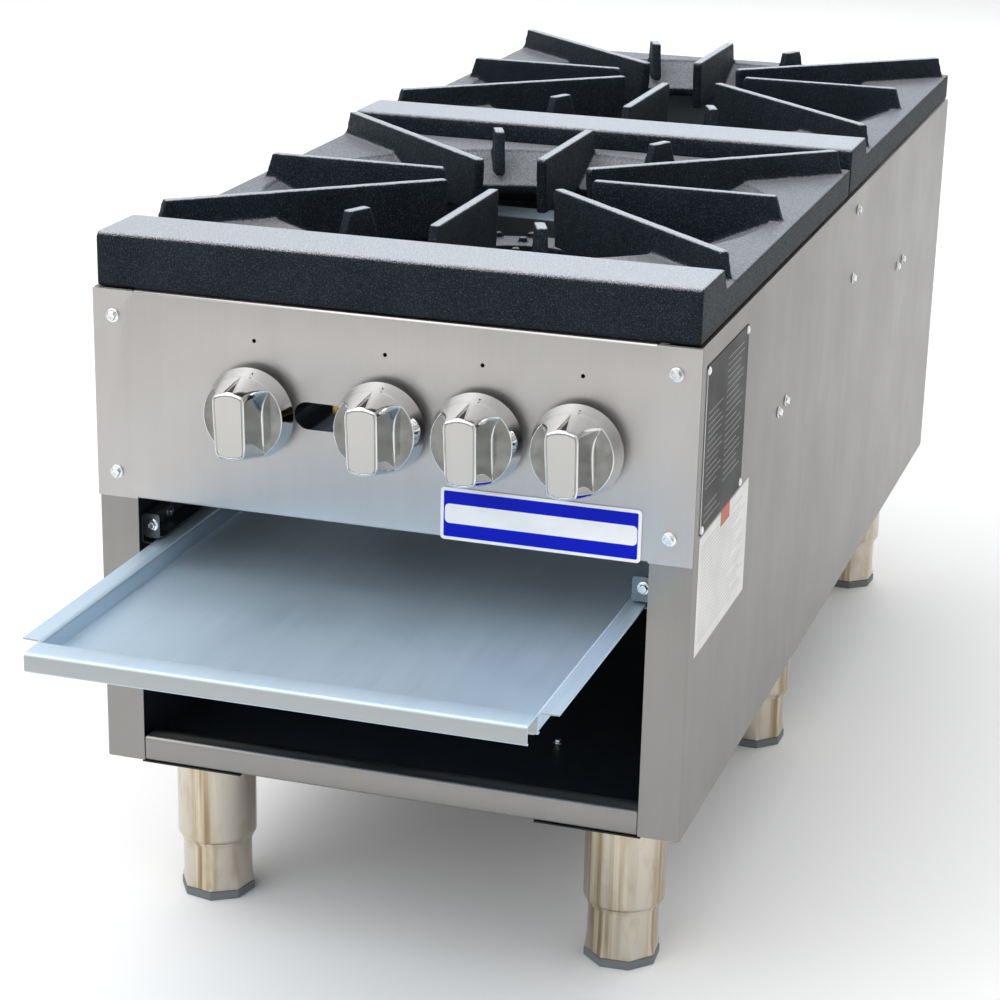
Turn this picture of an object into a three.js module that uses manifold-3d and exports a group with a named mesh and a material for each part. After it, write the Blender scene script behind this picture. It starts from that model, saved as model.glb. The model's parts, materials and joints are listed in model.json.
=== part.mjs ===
// A stock pot range: two open gas burners one behind the other under cast-iron grates, in a stainless
// cabinet on six adjustable legs, with four valves behind the control panel and a drip tray below.
// Millimetres, +Z up. The front faces -Y. Inside the cabinet group z = 0 is the cabinet's underside and
// y = 0 is the face of the control panel; the outer group puts the origin at the bottom centre of it all.

import * as THREE from "three";
import { mergeVertices } from "three/addons/utils/BufferGeometryUtils.js";
import Module from "manifold-3d";

const wasm = await Module();
wasm.setup();

// ---------- driving dimensions ----------

const seatGap = 0.3; // left between pieces that touch
const bendClearance = 1.5; // keeps a square corner out of a folded one

// cabinet
const bodyWidth = 457.2;
const bodyDepth = 1066.8;
const bodyHeight = 372.4;
const sheet = 1.2; // stainless sheet
const bendRadius = 2; // at the middle of the sheet
const stileWidth = 31.4;
const ledgeWidth = 25; // inward flange round the top that the grates sit on
const baseFlange = 25;
const rearFlange = 22;
const panelHeight = 158.9;
const panelReturn = 15; // flange along the control panel's lower edge
const panelCornerDrop = 0.4; // the panel's outer ends stand this much lower than its folded edge
const railHeight = 20.3;
const railFlange = 18;
const railEndGap = 0.8;
const panUpstand = 14;
const linerGap = 23.9; // air space between a side panel and its liner
const linerDrop = 27.4; // its upper edge below the cabinet's top

// control panel openings
const knobPlaces = [-101.7, -1.5, 71.2, 144.6];
const knobDrop = 79.4; // valve axes below the panel's top edge
const stemHoleDiameter = 14;
const indexHoleDiameter = 3.2;
const indexHoleRise = 51.5; // index holes above the valve axes
const slotLeft = -71;
const slotLength = 44;
const slotHeight = 20.4;
const screwFromSide = 15.6;
const screwDrop = 19.8;
const screwSpacing = 119.4;
const screwHeadDiameter = 9;
const screwHeadHeight = 2.2;
const screwDiameter = 4;
const screwLength = 9;

// plates stuck on
const badgeWidth = 149.9;
const badgeHeight = 38.6;
const badgeFromSide = 36.4;
const badgeThickness = 0.8;
const badgeCorner = 3;
const ratingPlateLength = 127.5;
const ratingPlateHeight = 124.5;
const ratingPlateFromFront = 16.5;
const ratingPlateDrop = 16.4; // below the cabinet's top
const ratingPlateThickness = 0.5;

// legs
const legHeight = 138;
const legFromSide = 58.6;
const legFromEnd = 77;
const legDiameter = 63.5;
const legWall = 1.5;
const legLength = 91; // fixed tube, from the cabinet's underside down
const legShoulder = 7;
const legNeckDiameter = 58.2;
const legRailFromSide = 29.2;
const legRailWidth = 82;
const legRailThickness = 1.2;
const footDiameter = 55;
const footWall = 2.5;
const footFlareHeight = 20;
const footAcrossCorners = 59.6;
const padHeight = 7.2;
const padAcrossCorners = 60.4;
const footTurns = { front_left: 10, front_right: 26, mid_left: 5, mid_right: 22, rear_left: 14, rear_right: 19 };

// grates
const grateSideInset = 2.1; // from the cabinet's side
const grateInset = 3; // front edge behind the control panel's face
const grateJoint = 3.4; // between the two grates
const grateWall = 9;
const grateRimHeight = 24.3;
const deckThickness = 7;
const barHeight = 40.3;
const barDepth = 63;
const barSlope = 11; // the bar's rear face leans this far
const finHeight = 44.8;
const finThickness = 8.6;
const finInnerRadius = 62;
const finEndSlope = 8.5;
const finDepthBelowSeat = 1; // fin bottoms under the seat plane, inside the cabinet
const bowlMargin = 16.5; // between the grate's side and the bowl's upper edge
const bowlSlopeWidth = 50;
const bowlDrop = 22.5;
const nubRadius = 188;
const nubLength = 22;
const nubAngle = 22.5; // from the front-to-back line, degrees

// burners
const burnerTopDrop = 22.4; // port tops below the cabinet's top
const burnerRingRadius = 100;
const burnerRingBore = 62;
const burnerHeadRadius = 45;
const burnerCasting = 26;
const portHeight = 5;
const portRadius = 4.6;
const tubeRadius = 15;
const tubeMouthRadius = 19;
const tubeMouthBore = 14;
const tubeMouthLength = 24;
const tubeCrossing = 90; // length over which a tube leaves its valve's line for its riser's
const tubeCrossingAhead = 180; // of the middle burners' risers
const ringRiserAside = 75;
const ringRiserAhead = 30;
const supportHeight = 30;
const supportWidth = 45;
const supportDrop = 102.4; // its top below the cabinet's top
const supportAhead = 19; // support's centre in front of the burner's centre
const supportFoot = 7; // radius of the castings' foot

// gas train
const manifoldRadius = 13.35;
const manifoldBehind = 40; // manifold axis behind the panel's face
const manifoldRise = 28.5; // above the valve axes
const manifoldFromSide = 45.6; // rear run's axis
const inletStub = 29; // inlet end behind the rear panel
const elbowRadius = 17;
const valveRadius = 9;
const valveFront = 10;
const valveBack = 58;
const hoodRadius = 6;
const hoodLength = 22;
const stemRadius = 4;
const stemBore = 8;
const bonnetLength = 12;
const pilotPlace = -46;
const pilotTubeRadius = 3.2;
const pilotLine = -31;
const pilotLevelDrop = 70.4; // tube's run below the cabinet's top
const pilotTipDrop = 34.4;
const pilotAhead = 14; // tips in front of the burners

// knobs
const knobGap = 8.9; // skirt in front of the panel
const knobLength = 39.3;
const knobBaseRadius = 34.1;
const knobFaceRadius = 24.6;
const knobShelf = 14.2; // grip shoulders in front of the skirt's back
const gripHalfFront = 12;
const gripHalfRoot = 16;
const knobBore = 20;
const pointerWidth = 6;
const pointerLength = 21;
const pointerDepth = 1.2;

// drip tray, drawn out by trayOut from the closed place
const trayOut = 216;
const trayLength = 1010;
const trayClosedFront = 8; // lip in front of the panel when closed
const trayRimTop = 175;
const trayDepth = 14.4;
const trayRimFromLiner = 11.5;
const trayWallFromLiner = 26.9;
const trayLipFromLiner = 25.3;
const trayLipDepth = 24;
const trayLipHem = 3;
const trayRearFlange = 10;
const traySheet = 1.2;
const trayNotch = 12;
const slideWeb = 23.5;
const slideTopFlange = 12;
const slideFromFront = 18;
const slideFromRear = 16;
const slideSheet = 1.5;

// cross member
const crossBefore = 45; // its front edge ahead of the joint between the grates
const crossBehind = 37;
const crossFrontLip = 15;
const crossRearWeb = 36;
const crossTabDepth = 25;
const crossTabDrop = 87;

// ---------- derived places ----------

const halfWidth = bodyWidth / 2;
const grateWidth = bodyWidth - 2 * grateSideInset;
const linerFace = halfWidth - sheet - linerGap;
const spanBetweenLiners = linerFace - seatGap;
const spanBetweenLedges = halfWidth - ledgeWidth - seatGap;
const openingHalf = halfWidth - stileWidth;
const stileFace = sheet + seatGap;
const rearInnerFace = bodyDepth - sheet - seatGap;
const bendChamfer = 0.45 * bendRadius; // keeps a flange's corner inside a bend
const insideFront = stileFace + sheet + bendClearance;
const insideRear = rearInnerFace - sheet - bendClearance;
const knobAxis = bodyHeight - knobDrop;
const supportTop = bodyHeight - supportDrop;
const pilotLevel = bodyHeight - pilotLevelDrop;
const pilotTip = bodyHeight - pilotTipDrop;
const manifoldSide = halfWidth - manifoldFromSide;
const badgeLeft = halfWidth - badgeFromSide - badgeWidth;
const legRailOuter = halfWidth - legRailFromSide;
const manifoldAxis = knobAxis + manifoldRise;
const gratePitch = bodyDepth / 2;
const grateDepth = gratePitch - grateJoint;
const grateSeat = bodyHeight + seatGap;
const barFoot = barDepth + barSlope;
const bowlCentre = (barFoot + grateDepth) / 2; // from the grate's front edge
const bowlRadius = Math.min(grateWidth / 2, (grateDepth - barFoot) / 2) - bowlMargin;
const grateFronts = { front: grateInset, rear: grateInset + gratePitch };
const burnerCentre = { front: grateFronts.front + bowlCentre, rear: grateFronts.rear + bowlCentre };
const burnerTop = bodyHeight - burnerTopDrop;
const legPlaces = {
  front_left: [-1, legFromEnd],
  front_right: [1, legFromEnd],
  mid_left: [-1, bodyDepth / 2],
  mid_right: [1, bodyDepth / 2],
  rear_left: [-1, bodyDepth - legFromEnd],
  rear_right: [1, bodyDepth - legFromEnd],
};
const trayFront = -trayClosedFront - trayOut;
const trayRimHalf = linerFace - trayRimFromLiner;
const trayWallHalf = linerFace - trayWallFromLiner;
const trayLipHalf = linerFace - trayLipFromLiner;

// ---------- materials ----------

const metal = (color, roughness) => new THREE.MeshStandardMaterial({ color, roughness, metalness: 1 });
const stainless = metal(0xb4b1ad, 0.38);
const galvanised = metal(0xa9b8bf, 0.35);
const chrome = metal(0xdcdfe2, 0.08);
const legSteel = metal(0xb9ae9d, 0.25);
const brass = metal(0xb98f4a, 0.3);
const blackSteel = new THREE.MeshStandardMaterial({ color: 0x101216, roughness: 0.5, metalness: 0.4 });
const castIron = new THREE.MeshStandardMaterial({ color: 0x2a3238, roughness: 0.7, metalness: 0.3 });
const blackPipe = new THREE.MeshStandardMaterial({ color: 0x26272a, roughness: 0.55, metalness: 0.6 });
const padRubber = new THREE.MeshStandardMaterial({ color: 0x6f7579, roughness: 0.8 });
const badgeBlue = new THREE.MeshStandardMaterial({ color: 0x0a25a8, roughness: 0.3 });
const plateGrey = new THREE.MeshStandardMaterial({ color: 0x4d4e50, roughness: 0.45, metalness: 0.5 });

// ---------- solids ----------

const bendSteps = 3;
const tubeBendSteps = 3;

function solidOf(geometry) {
  const bare = geometry.clone();
  for (const name of ["normal", "uv"]) bare.deleteAttribute(name);
  const merged = mergeVertices(bare, 1e-4);
  return new wasm.Manifold(
    new wasm.Mesh({
      numProp: 3,
      vertProperties: new Float32Array(merged.attributes.position.array),
      triVerts: new Uint32Array(merged.index.array),
    }),
  );
}

function joined(first, ...others) {
  return others.reduce((whole, next) => whole.add(solidOf(next)), solidOf(first));
}

function cut(whole, ...tools) {
  return tools.reduce((left, tool) => left.subtract(solidOf(tool)), whole);
}

function geometryOf(solid) {
  const { vertProperties, triVerts } = solid.getMesh();
  const geometry = new THREE.BufferGeometry();
  geometry.setAttribute("position", new THREE.BufferAttribute(vertProperties, 3));
  geometry.setIndex(new THREE.BufferAttribute(triVerts, 1));
  return geometry;
}

function piece(parent, name, shape, material) {
  const geometry = shape.isBufferGeometry ? shape : geometryOf(shape);
  const mesh = new THREE.Mesh(geometry, material);
  mesh.name = name;
  parent.add(mesh);
  return mesh;
}

function block([x0, x1], [y0, y1], [z0, z1]) {
  const box = new THREE.BoxGeometry(x1 - x0, y1 - y0, z1 - z0);
  return box.translate((x0 + x1) / 2, (y0 + y1) / 2, (z0 + z1) / 2);
}

// A cylinder or cone frustum along +X, +Y or +Z, from its start point.
function rod(axis, [x, y, z], length, radius, endRadius = radius, sides = 20) {
  const cylinder = new THREE.CylinderGeometry(endRadius, radius, length, sides);
  cylinder.translate(0, length / 2, 0);
  if (axis === "x") cylinder.rotateZ(-Math.PI / 2);
  if (axis === "z") cylinder.rotateX(Math.PI / 2);
  return cylinder.translate(x, y, z);
}

// An outline drawn in the plane across an axis and extruded along that axis.
function extruded(axis, outline, start, end) {
  const shape = new THREE.Shape(outline.map(([a, b]) => new THREE.Vector2(a, b)));
  const prism = new THREE.ExtrudeGeometry(shape, { depth: end - start, bevelEnabled: false });
  if (axis === "z") return prism.translate(0, 0, start);
  if (axis === "y") return prism.rotateX(Math.PI / 2).translate(0, end, 0); // drawn in X, Z
  const toX = new THREE.Matrix4().set(0, 0, 1, start, 1, 0, 0, 0, 0, 1, 0, 0, 0, 0, 0, 1);
  return prism.applyMatrix4(toX); // drawn in Y, Z
}

function turned(profile, sides) {
  const points = [...profile, profile[0]].map(([radius, height]) => new THREE.Vector2(radius, height));
  return new THREE.LatheGeometry(points, sides).rotateX(Math.PI / 2);
}

// A tube through a row of corners, each rounded off over the bend's distance from it.
function tubeAlong(corners, bend, radius, sides) {
  const places = corners.map((corner) => new THREE.Vector3(...corner));
  const stations = places.flatMap((corner, i) => {
    if (i === 0 || i === places.length - 1) return [corner];
    const [from, to] = [places[i - 1], places[i + 1]].map((p) => p.clone().sub(corner).setLength(bend).add(corner));
    return new THREE.QuadraticBezierCurve3(from, corner, to).getPoints(tubeBendSteps);
  });
  const path = new THREE.CatmullRomCurve3(stations, false, "catmullrom");
  path.getUtoTmapping = (along) => along; // one ring of vertices at each station
  const section = new THREE.Shape();
  section.absarc(0, 0, radius, 0, 2 * Math.PI);
  return new THREE.ExtrudeGeometry(section, {
    extrudePath: path,
    steps: stations.length - 1,
    curveSegments: sides / 2,
  });
}

// The outline of folded sheet metal. The path is one face of the sheet; its thickness lies to the left
// of the path (side 1) or to the right (side -1), and each fold gets the bend radius.
function folded(path, thickness, side) {
  const points = path.map(([a, b]) => new THREE.Vector2(a, b));
  const leftOf = (p, q) => {
    const along = q.clone().sub(p).normalize();
    return new THREE.Vector2(-along.y, along.x);
  };
  const last = points.length - 1;
  const middle = points.map((p, i) => {
    const before = leftOf(points[Math.max(i - 1, 0)], points[Math.max(i, 1)]);
    const after = leftOf(points[Math.min(i, last - 1)], points[Math.min(i + 1, last)]);
    const mitre = before.clone().add(after).divideScalar(1 + before.dot(after));
    return p.clone().addScaledVector(mitre, (side * thickness) / 2);
  });
  const stations = [];
  middle.forEach((p, i) => {
    if (i === 0 || i === last) {
      const normal = i === 0 ? leftOf(middle[0], middle[1]) : leftOf(middle[last - 1], middle[last]);
      stations.push([p, normal]);
      return;
    }
    const before = leftOf(middle[i - 1], p);
    const after = leftOf(p, middle[i + 1]);
    const turn = Math.sign(before.x * after.y - before.y * after.x);
    const centre = before.clone().add(after).divideScalar(1 + before.dot(after));
    centre.multiplyScalar(turn * bendRadius).add(p);
    const sweep = Math.acos(THREE.MathUtils.clamp(before.dot(after), -1, 1)) * turn;
    for (let step = 0; step <= bendSteps; step++) {
      const normal = before.clone().rotateAround(new THREE.Vector2(), (sweep * step) / bendSteps);
      stations.push([centre.clone().addScaledVector(normal, -turn * bendRadius), normal]);
    }
  });
  const face = (way) => stations.map(([p, n]) => p.clone().addScaledVector(n, (way * thickness) / 2).toArray());
  return [...face(1).reverse(), ...face(-1)];
}

const mirrored = (outline) => outline.map(([a, b]) => [-a, b]).reverse();

// ---------- cabinet ----------

function sidePanel(side) {
  const wall = folded(
    [
      [halfWidth - rearFlange, rearInnerFace],
      [halfWidth, rearInnerFace],
      [halfWidth, stileFace],
      [openingHalf, stileFace],
    ],
    sheet,
    -1,
  );
  const flange = (width, from, to) => {
    const outer = halfWidth - sheet / 2;
    const [front, back] = [stileFace + sheet / 2, rearInnerFace - sheet / 2];
    const outline = [
      [halfWidth - width, front],
      [outer - bendChamfer, front],
      [outer, front + bendChamfer],
      [outer, back - bendChamfer],
      [outer - bendChamfer, back],
      [halfWidth - width, back],
    ];
    return extruded("z", side > 0 ? outline : mirrored(outline), from, to);
  };
  return cut(
    joined(
      extruded("z", side > 0 ? wall : mirrored(wall), 0, bodyHeight),
      flange(ledgeWidth, bodyHeight - sheet, bodyHeight),
      flange(baseFlange, 0, sheet),
    ),
    ...screwHoles.filter(([x]) => x * side > 0).map(screwHole),
  );
}

const screwHoles = [-1, 1].flatMap((side) =>
  [screwDrop, screwDrop + screwSpacing].map((drop) => [side * (halfWidth - screwFromSide), bodyHeight - drop]),
);

function screwHole([x, z]) {
  const radius = screwDiameter / 2 + seatGap;
  return rod("y", [x, -1, z], stileFace + 2 * sheet, radius, radius, 8);
}

function panelScrew() {
  const shank = rod("y", [0, -seatGap - 0.5, 0], screwLength, screwDiameter / 2, screwDiameter / 2, 8);
  const head = turned(
    [
      [0, 0],
      [screwHeadDiameter / 2, 0],
      [screwHeadDiameter / 2, screwHeadHeight * 0.4],
      [screwHeadDiameter * 0.36, screwHeadHeight * 0.9],
      [0, screwHeadHeight],
    ],
    10,
  );
  return joined(head.rotateX(Math.PI / 2).translate(0, -seatGap, 0), shank);
}

function controlPanel() {
  const foldHalf = openingHalf - railEndGap;
  const lower = bodyHeight - panelHeight;
  const foldedEdges = folded(
    [
      [ledgeWidth, bodyHeight],
      [0, bodyHeight],
      [0, lower],
      [panelReturn, lower],
    ],
    sheet,
    1,
  );
  const ear = (x0, x1) => block([x0, x1], [0, sheet], [lower, bodyHeight - panelCornerDrop]);
  const slot = new THREE.Path();
  const slotEnd = slotHeight / 2;
  slot.absarc(slotLeft + slotEnd, knobAxis, slotEnd, Math.PI / 2, -Math.PI / 2, false);
  slot.absarc(slotLeft + slotLength - slotEnd, knobAxis, slotEnd, -Math.PI / 2, Math.PI / 2, false);
  const holes = knobPlaces.flatMap((x) => [
    rod("y", [x, -sheet, knobAxis], 3 * sheet, stemHoleDiameter / 2, stemHoleDiameter / 2, 16),
    rod("y", [x, -sheet, knobAxis + indexHoleRise], 3 * sheet, indexHoleDiameter / 2, indexHoleDiameter / 2, 8),
  ]);
  const slotOutline = slot.getPoints(6).slice(0, -1).map((p) => p.toArray());
  return cut(
    joined(extruded("x", foldedEdges, -foldHalf, foldHalf), ear(-halfWidth, -foldHalf), ear(foldHalf, halfWidth)),
    ...holes,
    ...screwHoles.map(screwHole),
    extruded("y", slotOutline, -sheet, 2 * sheet),
  );
}

function frontRail() {
  const back = stileFace + railFlange;
  const outline = folded([[back, railHeight], [stileFace, railHeight], [stileFace, 0], [back, 0]], sheet, 1);
  return extruded("x", outline, railEndGap - openingHalf, openingHalf - railEndGap);
}

function bottomPan() {
  const half = halfWidth - sheet - seatGap;
  const under = sheet + seatGap;
  const outline = folded([[-half, panUpstand], [-half, under], [half, under], [half, panUpstand]], sheet, 1);
  return extruded("y", outline, insideFront, insideRear);
}

function rearPanel() {
  const half = halfWidth - seatGap;
  const plate = block([-half, half], [bodyDepth - sheet, bodyDepth], [0, bodyHeight - sheet - bendRadius]);
  const edge = folded(
    [
      [bodyDepth - ledgeWidth, bodyHeight],
      [bodyDepth, bodyHeight],
      [bodyDepth, bodyHeight - ledgeWidth],
    ],
    sheet,
    -1,
  );
  const pipeHole = rod("y", [-manifoldSide, bodyDepth - 2 * sheet, manifoldAxis], 3 * sheet, manifoldRadius + seatGap);
  return cut(joined(plate, extruded("x", edge, -spanBetweenLedges, spanBetweenLedges)), pipeHole);
}

function liner(side) {
  const foot = 2 * sheet + 2 * seatGap;
  const outer = halfWidth - sheet - seatGap;
  const top = bodyHeight - linerDrop;
  const outline = folded([[linerFace, foot], [linerFace, top], [outer, top]], sheet, -1);
  return extruded("y", side > 0 ? outline : mirrored(outline), insideFront, insideRear);
}

function crossMember() {
  const joint = gratePitch;
  const front = joint - crossBefore;
  const back = joint + crossBehind;
  const outline = folded(
    [
      [front, bodyHeight - crossFrontLip],
      [front, bodyHeight],
      [back, bodyHeight],
      [back, bodyHeight - crossRearWeb],
    ],
    sheet,
    -1,
  );
  const reach = spanBetweenLedges;
  const tab = (side) => {
    const x = [reach - sheet, reach].map((value) => side * value).sort((a, b) => a - b);
    const behind = back - sheet - bendRadius;
    return block(x, [behind - crossTabDepth, behind], [bodyHeight - crossTabDrop, bodyHeight - sheet / 2]);
  };
  return joined(extruded("x", outline, -reach, reach), tab(-1), tab(1));
}

function burnerSupport(centre) {
  const middle = centre - supportAhead;
  const [front, back] = [middle - supportWidth / 2, middle + supportWidth / 2];
  const low = supportTop - supportHeight;
  const outline = folded([[front, low], [front, supportTop], [back, supportTop], [back, low]], sheet, -1);
  const reach = spanBetweenLiners;
  const inset = sheet + bendRadius;
  const end = (x) => block([x, x + sheet], [front + inset, back - inset], [low, supportTop - sheet / 2]);
  return joined(extruded("x", outline, -reach, reach), end(-reach), end(reach - sheet));
}

function traySlide(side) {
  const under = trayRimTop - traySheet - seatGap;
  const inner = trayWallHalf + 2;
  const outline = folded(
    [
      [inner, under - slideSheet],
      [spanBetweenLiners, under - slideSheet],
      [spanBetweenLiners, under - slideSheet + slideWeb],
      [spanBetweenLiners - slideTopFlange, under - slideSheet + slideWeb],
    ],
    slideSheet,
    1,
  );
  return extruded("y", side > 0 ? outline : mirrored(outline), slideFromFront, bodyDepth - slideFromRear);
}

function badge() {
  const lower = bodyHeight - panelHeight;
  const outline = new THREE.Shape();
  const [left, right] = [badgeLeft + badgeCorner, badgeLeft + badgeWidth - badgeCorner];
  const [low, high] = [lower + badgeCorner, lower + badgeHeight - badgeCorner];
  outline.absarc(right, high, badgeCorner, 0, Math.PI / 2);
  outline.absarc(left, high, badgeCorner, Math.PI / 2, Math.PI);
  outline.absarc(left, low, badgeCorner, Math.PI, 1.5 * Math.PI);
  outline.absarc(right, low, badgeCorner, 1.5 * Math.PI, 2 * Math.PI);
  const corners = outline.getPoints(3).map((p) => p.toArray());
  return extruded("y", corners, -seatGap - badgeThickness, -seatGap);
}

function ratingPlate() {
  const face = halfWidth + seatGap;
  const top = bodyHeight - ratingPlateDrop;
  const reach = [ratingPlateFromFront, ratingPlateFromFront + ratingPlateLength];
  return block([face, face + ratingPlateThickness], reach, [top - ratingPlateHeight, top]);
}

// ---------- legs ----------

const legRailUnder = -seatGap - legRailThickness;
const footTop = legRailUnder - seatGap;
const padTop = padHeight - legHeight;

function legRail(side) {
  const inner = legRailOuter - legRailWidth;
  const x = side > 0 ? [inner, legRailOuter] : [-legRailOuter, -inner];
  return block(x, [stileFace, bodyDepth - stileFace], [legRailUnder, -seatGap]);
}

function legTube() {
  const outer = legDiameter / 2;
  const neck = legNeckDiameter / 2;
  const bore = footDiameter / 2 + 2 * seatGap;
  return turned(
    [
      [outer - legWall, footTop],
      [outer - legWall, legShoulder - legLength],
      [bore, -legLength],
      [neck, -legLength],
      [outer, legShoulder - legLength],
      [outer, footTop],
    ],
    20,
  );
}

function foot() {
  const radius = footDiameter / 2;
  const flareTop = padTop + seatGap + footFlareHeight;
  const cup = turned(
    [
      [radius - footWall, footTop],
      [radius - footWall, flareTop + footWall],
      [0, flareTop + footWall],
      [0, padTop + seatGap + footFlareHeight / 2],
      [radius, padTop + seatGap + footFlareHeight / 2],
      [radius, footTop],
    ],
    20,
  );
  const flare = rod("z", [0, 0, padTop + seatGap], footFlareHeight, footAcrossCorners / 2, radius * 0.97, 8);
  return joined(cup, flare);
}

function pad() {
  return rod("z", [0, 0, -legHeight], padHeight, padAcrossCorners / 2, padAcrossCorners / 2, 8);
}

// ---------- grates ----------

// One fin: its side view, drawn outwards from the bowl's centre and upwards from the seat.
function fin(length, angle) {
  const floor = -finDepthBelowSeat;
  const bowlEdge = bowlRadius - bowlSlopeWidth;
  const deckMiddle = grateRimHeight - deckThickness / 2;
  const outline = [
    [finInnerRadius + 4, floor],
    [bowlEdge - 6, floor],
    [bowlRadius, deckMiddle],
    [length + finEndSlope * 0.9, deckMiddle],
    [length, finHeight],
    [finInnerRadius + 2, finHeight],
    [finInnerRadius, finHeight - 3],
  ];
  return radialPlate(outline, angle);
}

function nub(angle) {
  const [inner, outer] = [nubRadius - nubLength / 2, nubRadius + nubLength / 2];
  const base = grateRimHeight - bowlDrop / 2;
  const outline = [[inner - 14, base - 4], [outer + 8, base + 8], [outer, finHeight], [inner, finHeight]];
  return radialPlate(outline, angle);
}

function radialPlate(outline, angle) {
  const plate = extruded("y", outline, -finThickness / 2, finThickness / 2);
  return plate.rotateZ(angle).translate(0, bowlCentre, 0);
}

function grate() {
  const half = grateWidth / 2;
  const rim = block([-half, half], [0, grateDepth], [0, grateRimHeight]);
  const barOutline = [[0, 0], [barFoot, 0], [barFoot, grateRimHeight], [barDepth, barHeight], [3, barHeight], [0, barHeight - 3]];
  const bar = extruded("x", barOutline, -half, half);
  const pocket = block(
    [grateWall - half, half - grateWall],
    [grateWall, grateDepth - grateWall],
    [-1, grateRimHeight - deckThickness],
  );
  const barPocket = block(
    [grateWall - half, half - grateWall],
    [grateWall, barDepth - grateWall],
    [-1, barHeight - deckThickness],
  );
  const lip = 3;
  const well = rod("z", [0, bowlCentre, -1], grateRimHeight + 2, bowlRadius - lip, bowlRadius - lip, 40);
  const edge = bowlRadius - bowlSlopeWidth;
  const bowl = turned(
    [
      [bowlRadius, grateRimHeight - deckThickness],
      [bowlRadius, grateRimHeight],
      [edge, grateRimHeight - bowlDrop],
      [edge, grateRimHeight - bowlDrop - deckThickness],
      [edge + 4, grateRimHeight - bowlDrop - deckThickness],
    ],
    40,
  ).translate(0, bowlCentre, 0);
  const open = cut(joined(rim, bar), pocket, barPocket, well);
  const toRear = grateDepth - bowlCentre;
  const sideReach = half - finEndSlope - 7.5;
  const endReach = toRear - finEndSlope - 14;
  const cornerX = half - finEndSlope - 1;
  const cornerY = toRear - finEndSlope - 17;
  const cornerReach = Math.hypot(cornerX, cornerY);
  const cornerAngle = Math.atan2(cornerY, cornerX);
  const plates = [];
  for (const turn of [0, Math.PI]) {
    plates.push(fin(sideReach, turn));
    plates.push(fin(endReach, turn + Math.PI / 2));
    plates.push(fin(cornerReach, turn + cornerAngle));
    plates.push(fin(cornerReach, turn - cornerAngle));
    for (const way of [-1, 1]) plates.push(nub(turn + Math.PI / 2 + way * THREE.MathUtils.degToRad(nubAngle)));
  }
  return [bowl, ...plates].reduce((whole, next) => whole.add(solidOf(next)), open);
}

// ---------- burners ----------

const castingLow = burnerTop - portHeight - burnerCasting;
const castingTop = burnerTop - portHeight;

// Raised gas ports in a circle.
function ports(centre, radius, count, phase = 0) {
  return Array.from({ length: count }, (_, i) => {
    const angle = ((i + phase) / count) * 2 * Math.PI;
    const place = [radius * Math.cos(angle), centre + radius * Math.sin(angle), castingTop - 1];
    return rod("z", place, portHeight + 1, portRadius, portRadius * 0.82, 5);
  });
}

// A mixing tube: a flared, bored mouth behind its valve, a run below the castings and a riser into one.
function mixingTube(valveX, [x, y], crossedBy) {
  const mouth = valveBack + hoodLength * 0.4;
  const crossed = Math.max(crossedBy, mouth + tubeMouthLength + 1.5 * tubeCrossing);
  const corners = [
    [valveX, mouth + tubeMouthLength - 6, knobAxis],
    [valveX, crossed - tubeCrossing, knobAxis],
    [x, crossed, knobAxis],
    [x, y, knobAxis],
    [x, y, castingLow + 3],
  ];
  const flare = rod("y", [valveX, mouth, knobAxis], tubeMouthLength, tubeMouthRadius, tubeRadius);
  const bore = rod("y", [valveX, mouth - 1, knobAxis], tubeMouthLength - 3, tubeMouthBore, tubeMouthBore, 14);
  const footHeight = knobAxis - supportTop - seatGap;
  const footPost = rod("z", [x, y - 4, supportTop + seatGap], footHeight, supportFoot, supportFoot, 12);
  return { solids: [tubeAlong(corners, 20, tubeRadius, 12), flare, footPost], bore };
}

function ringBurner(centre, valveX, aside) {
  const [inner, outer] = [burnerRingBore, burnerRingRadius];
  const ring = turned(
    [
      [outer - 3, castingLow],
      [outer, castingTop - 3],
      [outer - 3, castingTop],
      [inner, castingTop],
      [inner, castingLow],
    ],
    32,
  ).translate(0, centre, 0);
  const middle = (inner + outer) / 2;
  const riser = centre - ringRiserAhead;
  const tube = mixingTube(valveX, [aside, riser], riser - 30);
  const studs = [...ports(centre, middle - 9, 14), ...ports(centre, middle + 9, 20, 0.5)];
  return cut(joined(ring, ...studs, ...tube.solids), tube.bore);
}

function headBurner(centre, valveX) {
  const radius = burnerHeadRadius;
  const head = turned(
    [
      [0, castingLow],
      [radius - 3, castingLow],
      [radius, castingTop - 3],
      [radius - 3, castingTop],
      [0, castingTop],
    ],
    24,
  ).translate(0, centre, 0);
  const tube = mixingTube(valveX, [0, centre], centre - tubeCrossingAhead);
  const studs = [...ports(centre, 0, 1), ...ports(centre, 15, 5), ...ports(centre, 32, 10)];
  return cut(joined(head, ...studs, ...tube.solids), tube.bore);
}

// ---------- gas train ----------

function manifold() {
  const right = spanBetweenLiners;
  const corner = manifoldBehind;
  const along = right + manifoldSide - elbowRadius;
  const backRun = bodyDepth + inletStub - corner - elbowRadius;
  const run = rod("x", [elbowRadius - manifoldSide, corner, manifoldAxis], along, manifoldRadius);
  const back = rod("y", [-manifoldSide, corner + elbowRadius, manifoldAxis], backRun, manifoldRadius);
  const elbow = tubeAlong(
    [
      [2.2 * elbowRadius - manifoldSide, corner, manifoldAxis],
      [-manifoldSide, corner, manifoldAxis],
      [-manifoldSide, corner + 2.2 * elbowRadius, manifoldAxis],
    ],
    elbowRadius,
    elbowRadius,
    16,
  );
  return joined(run, back, elbow);
}

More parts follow.
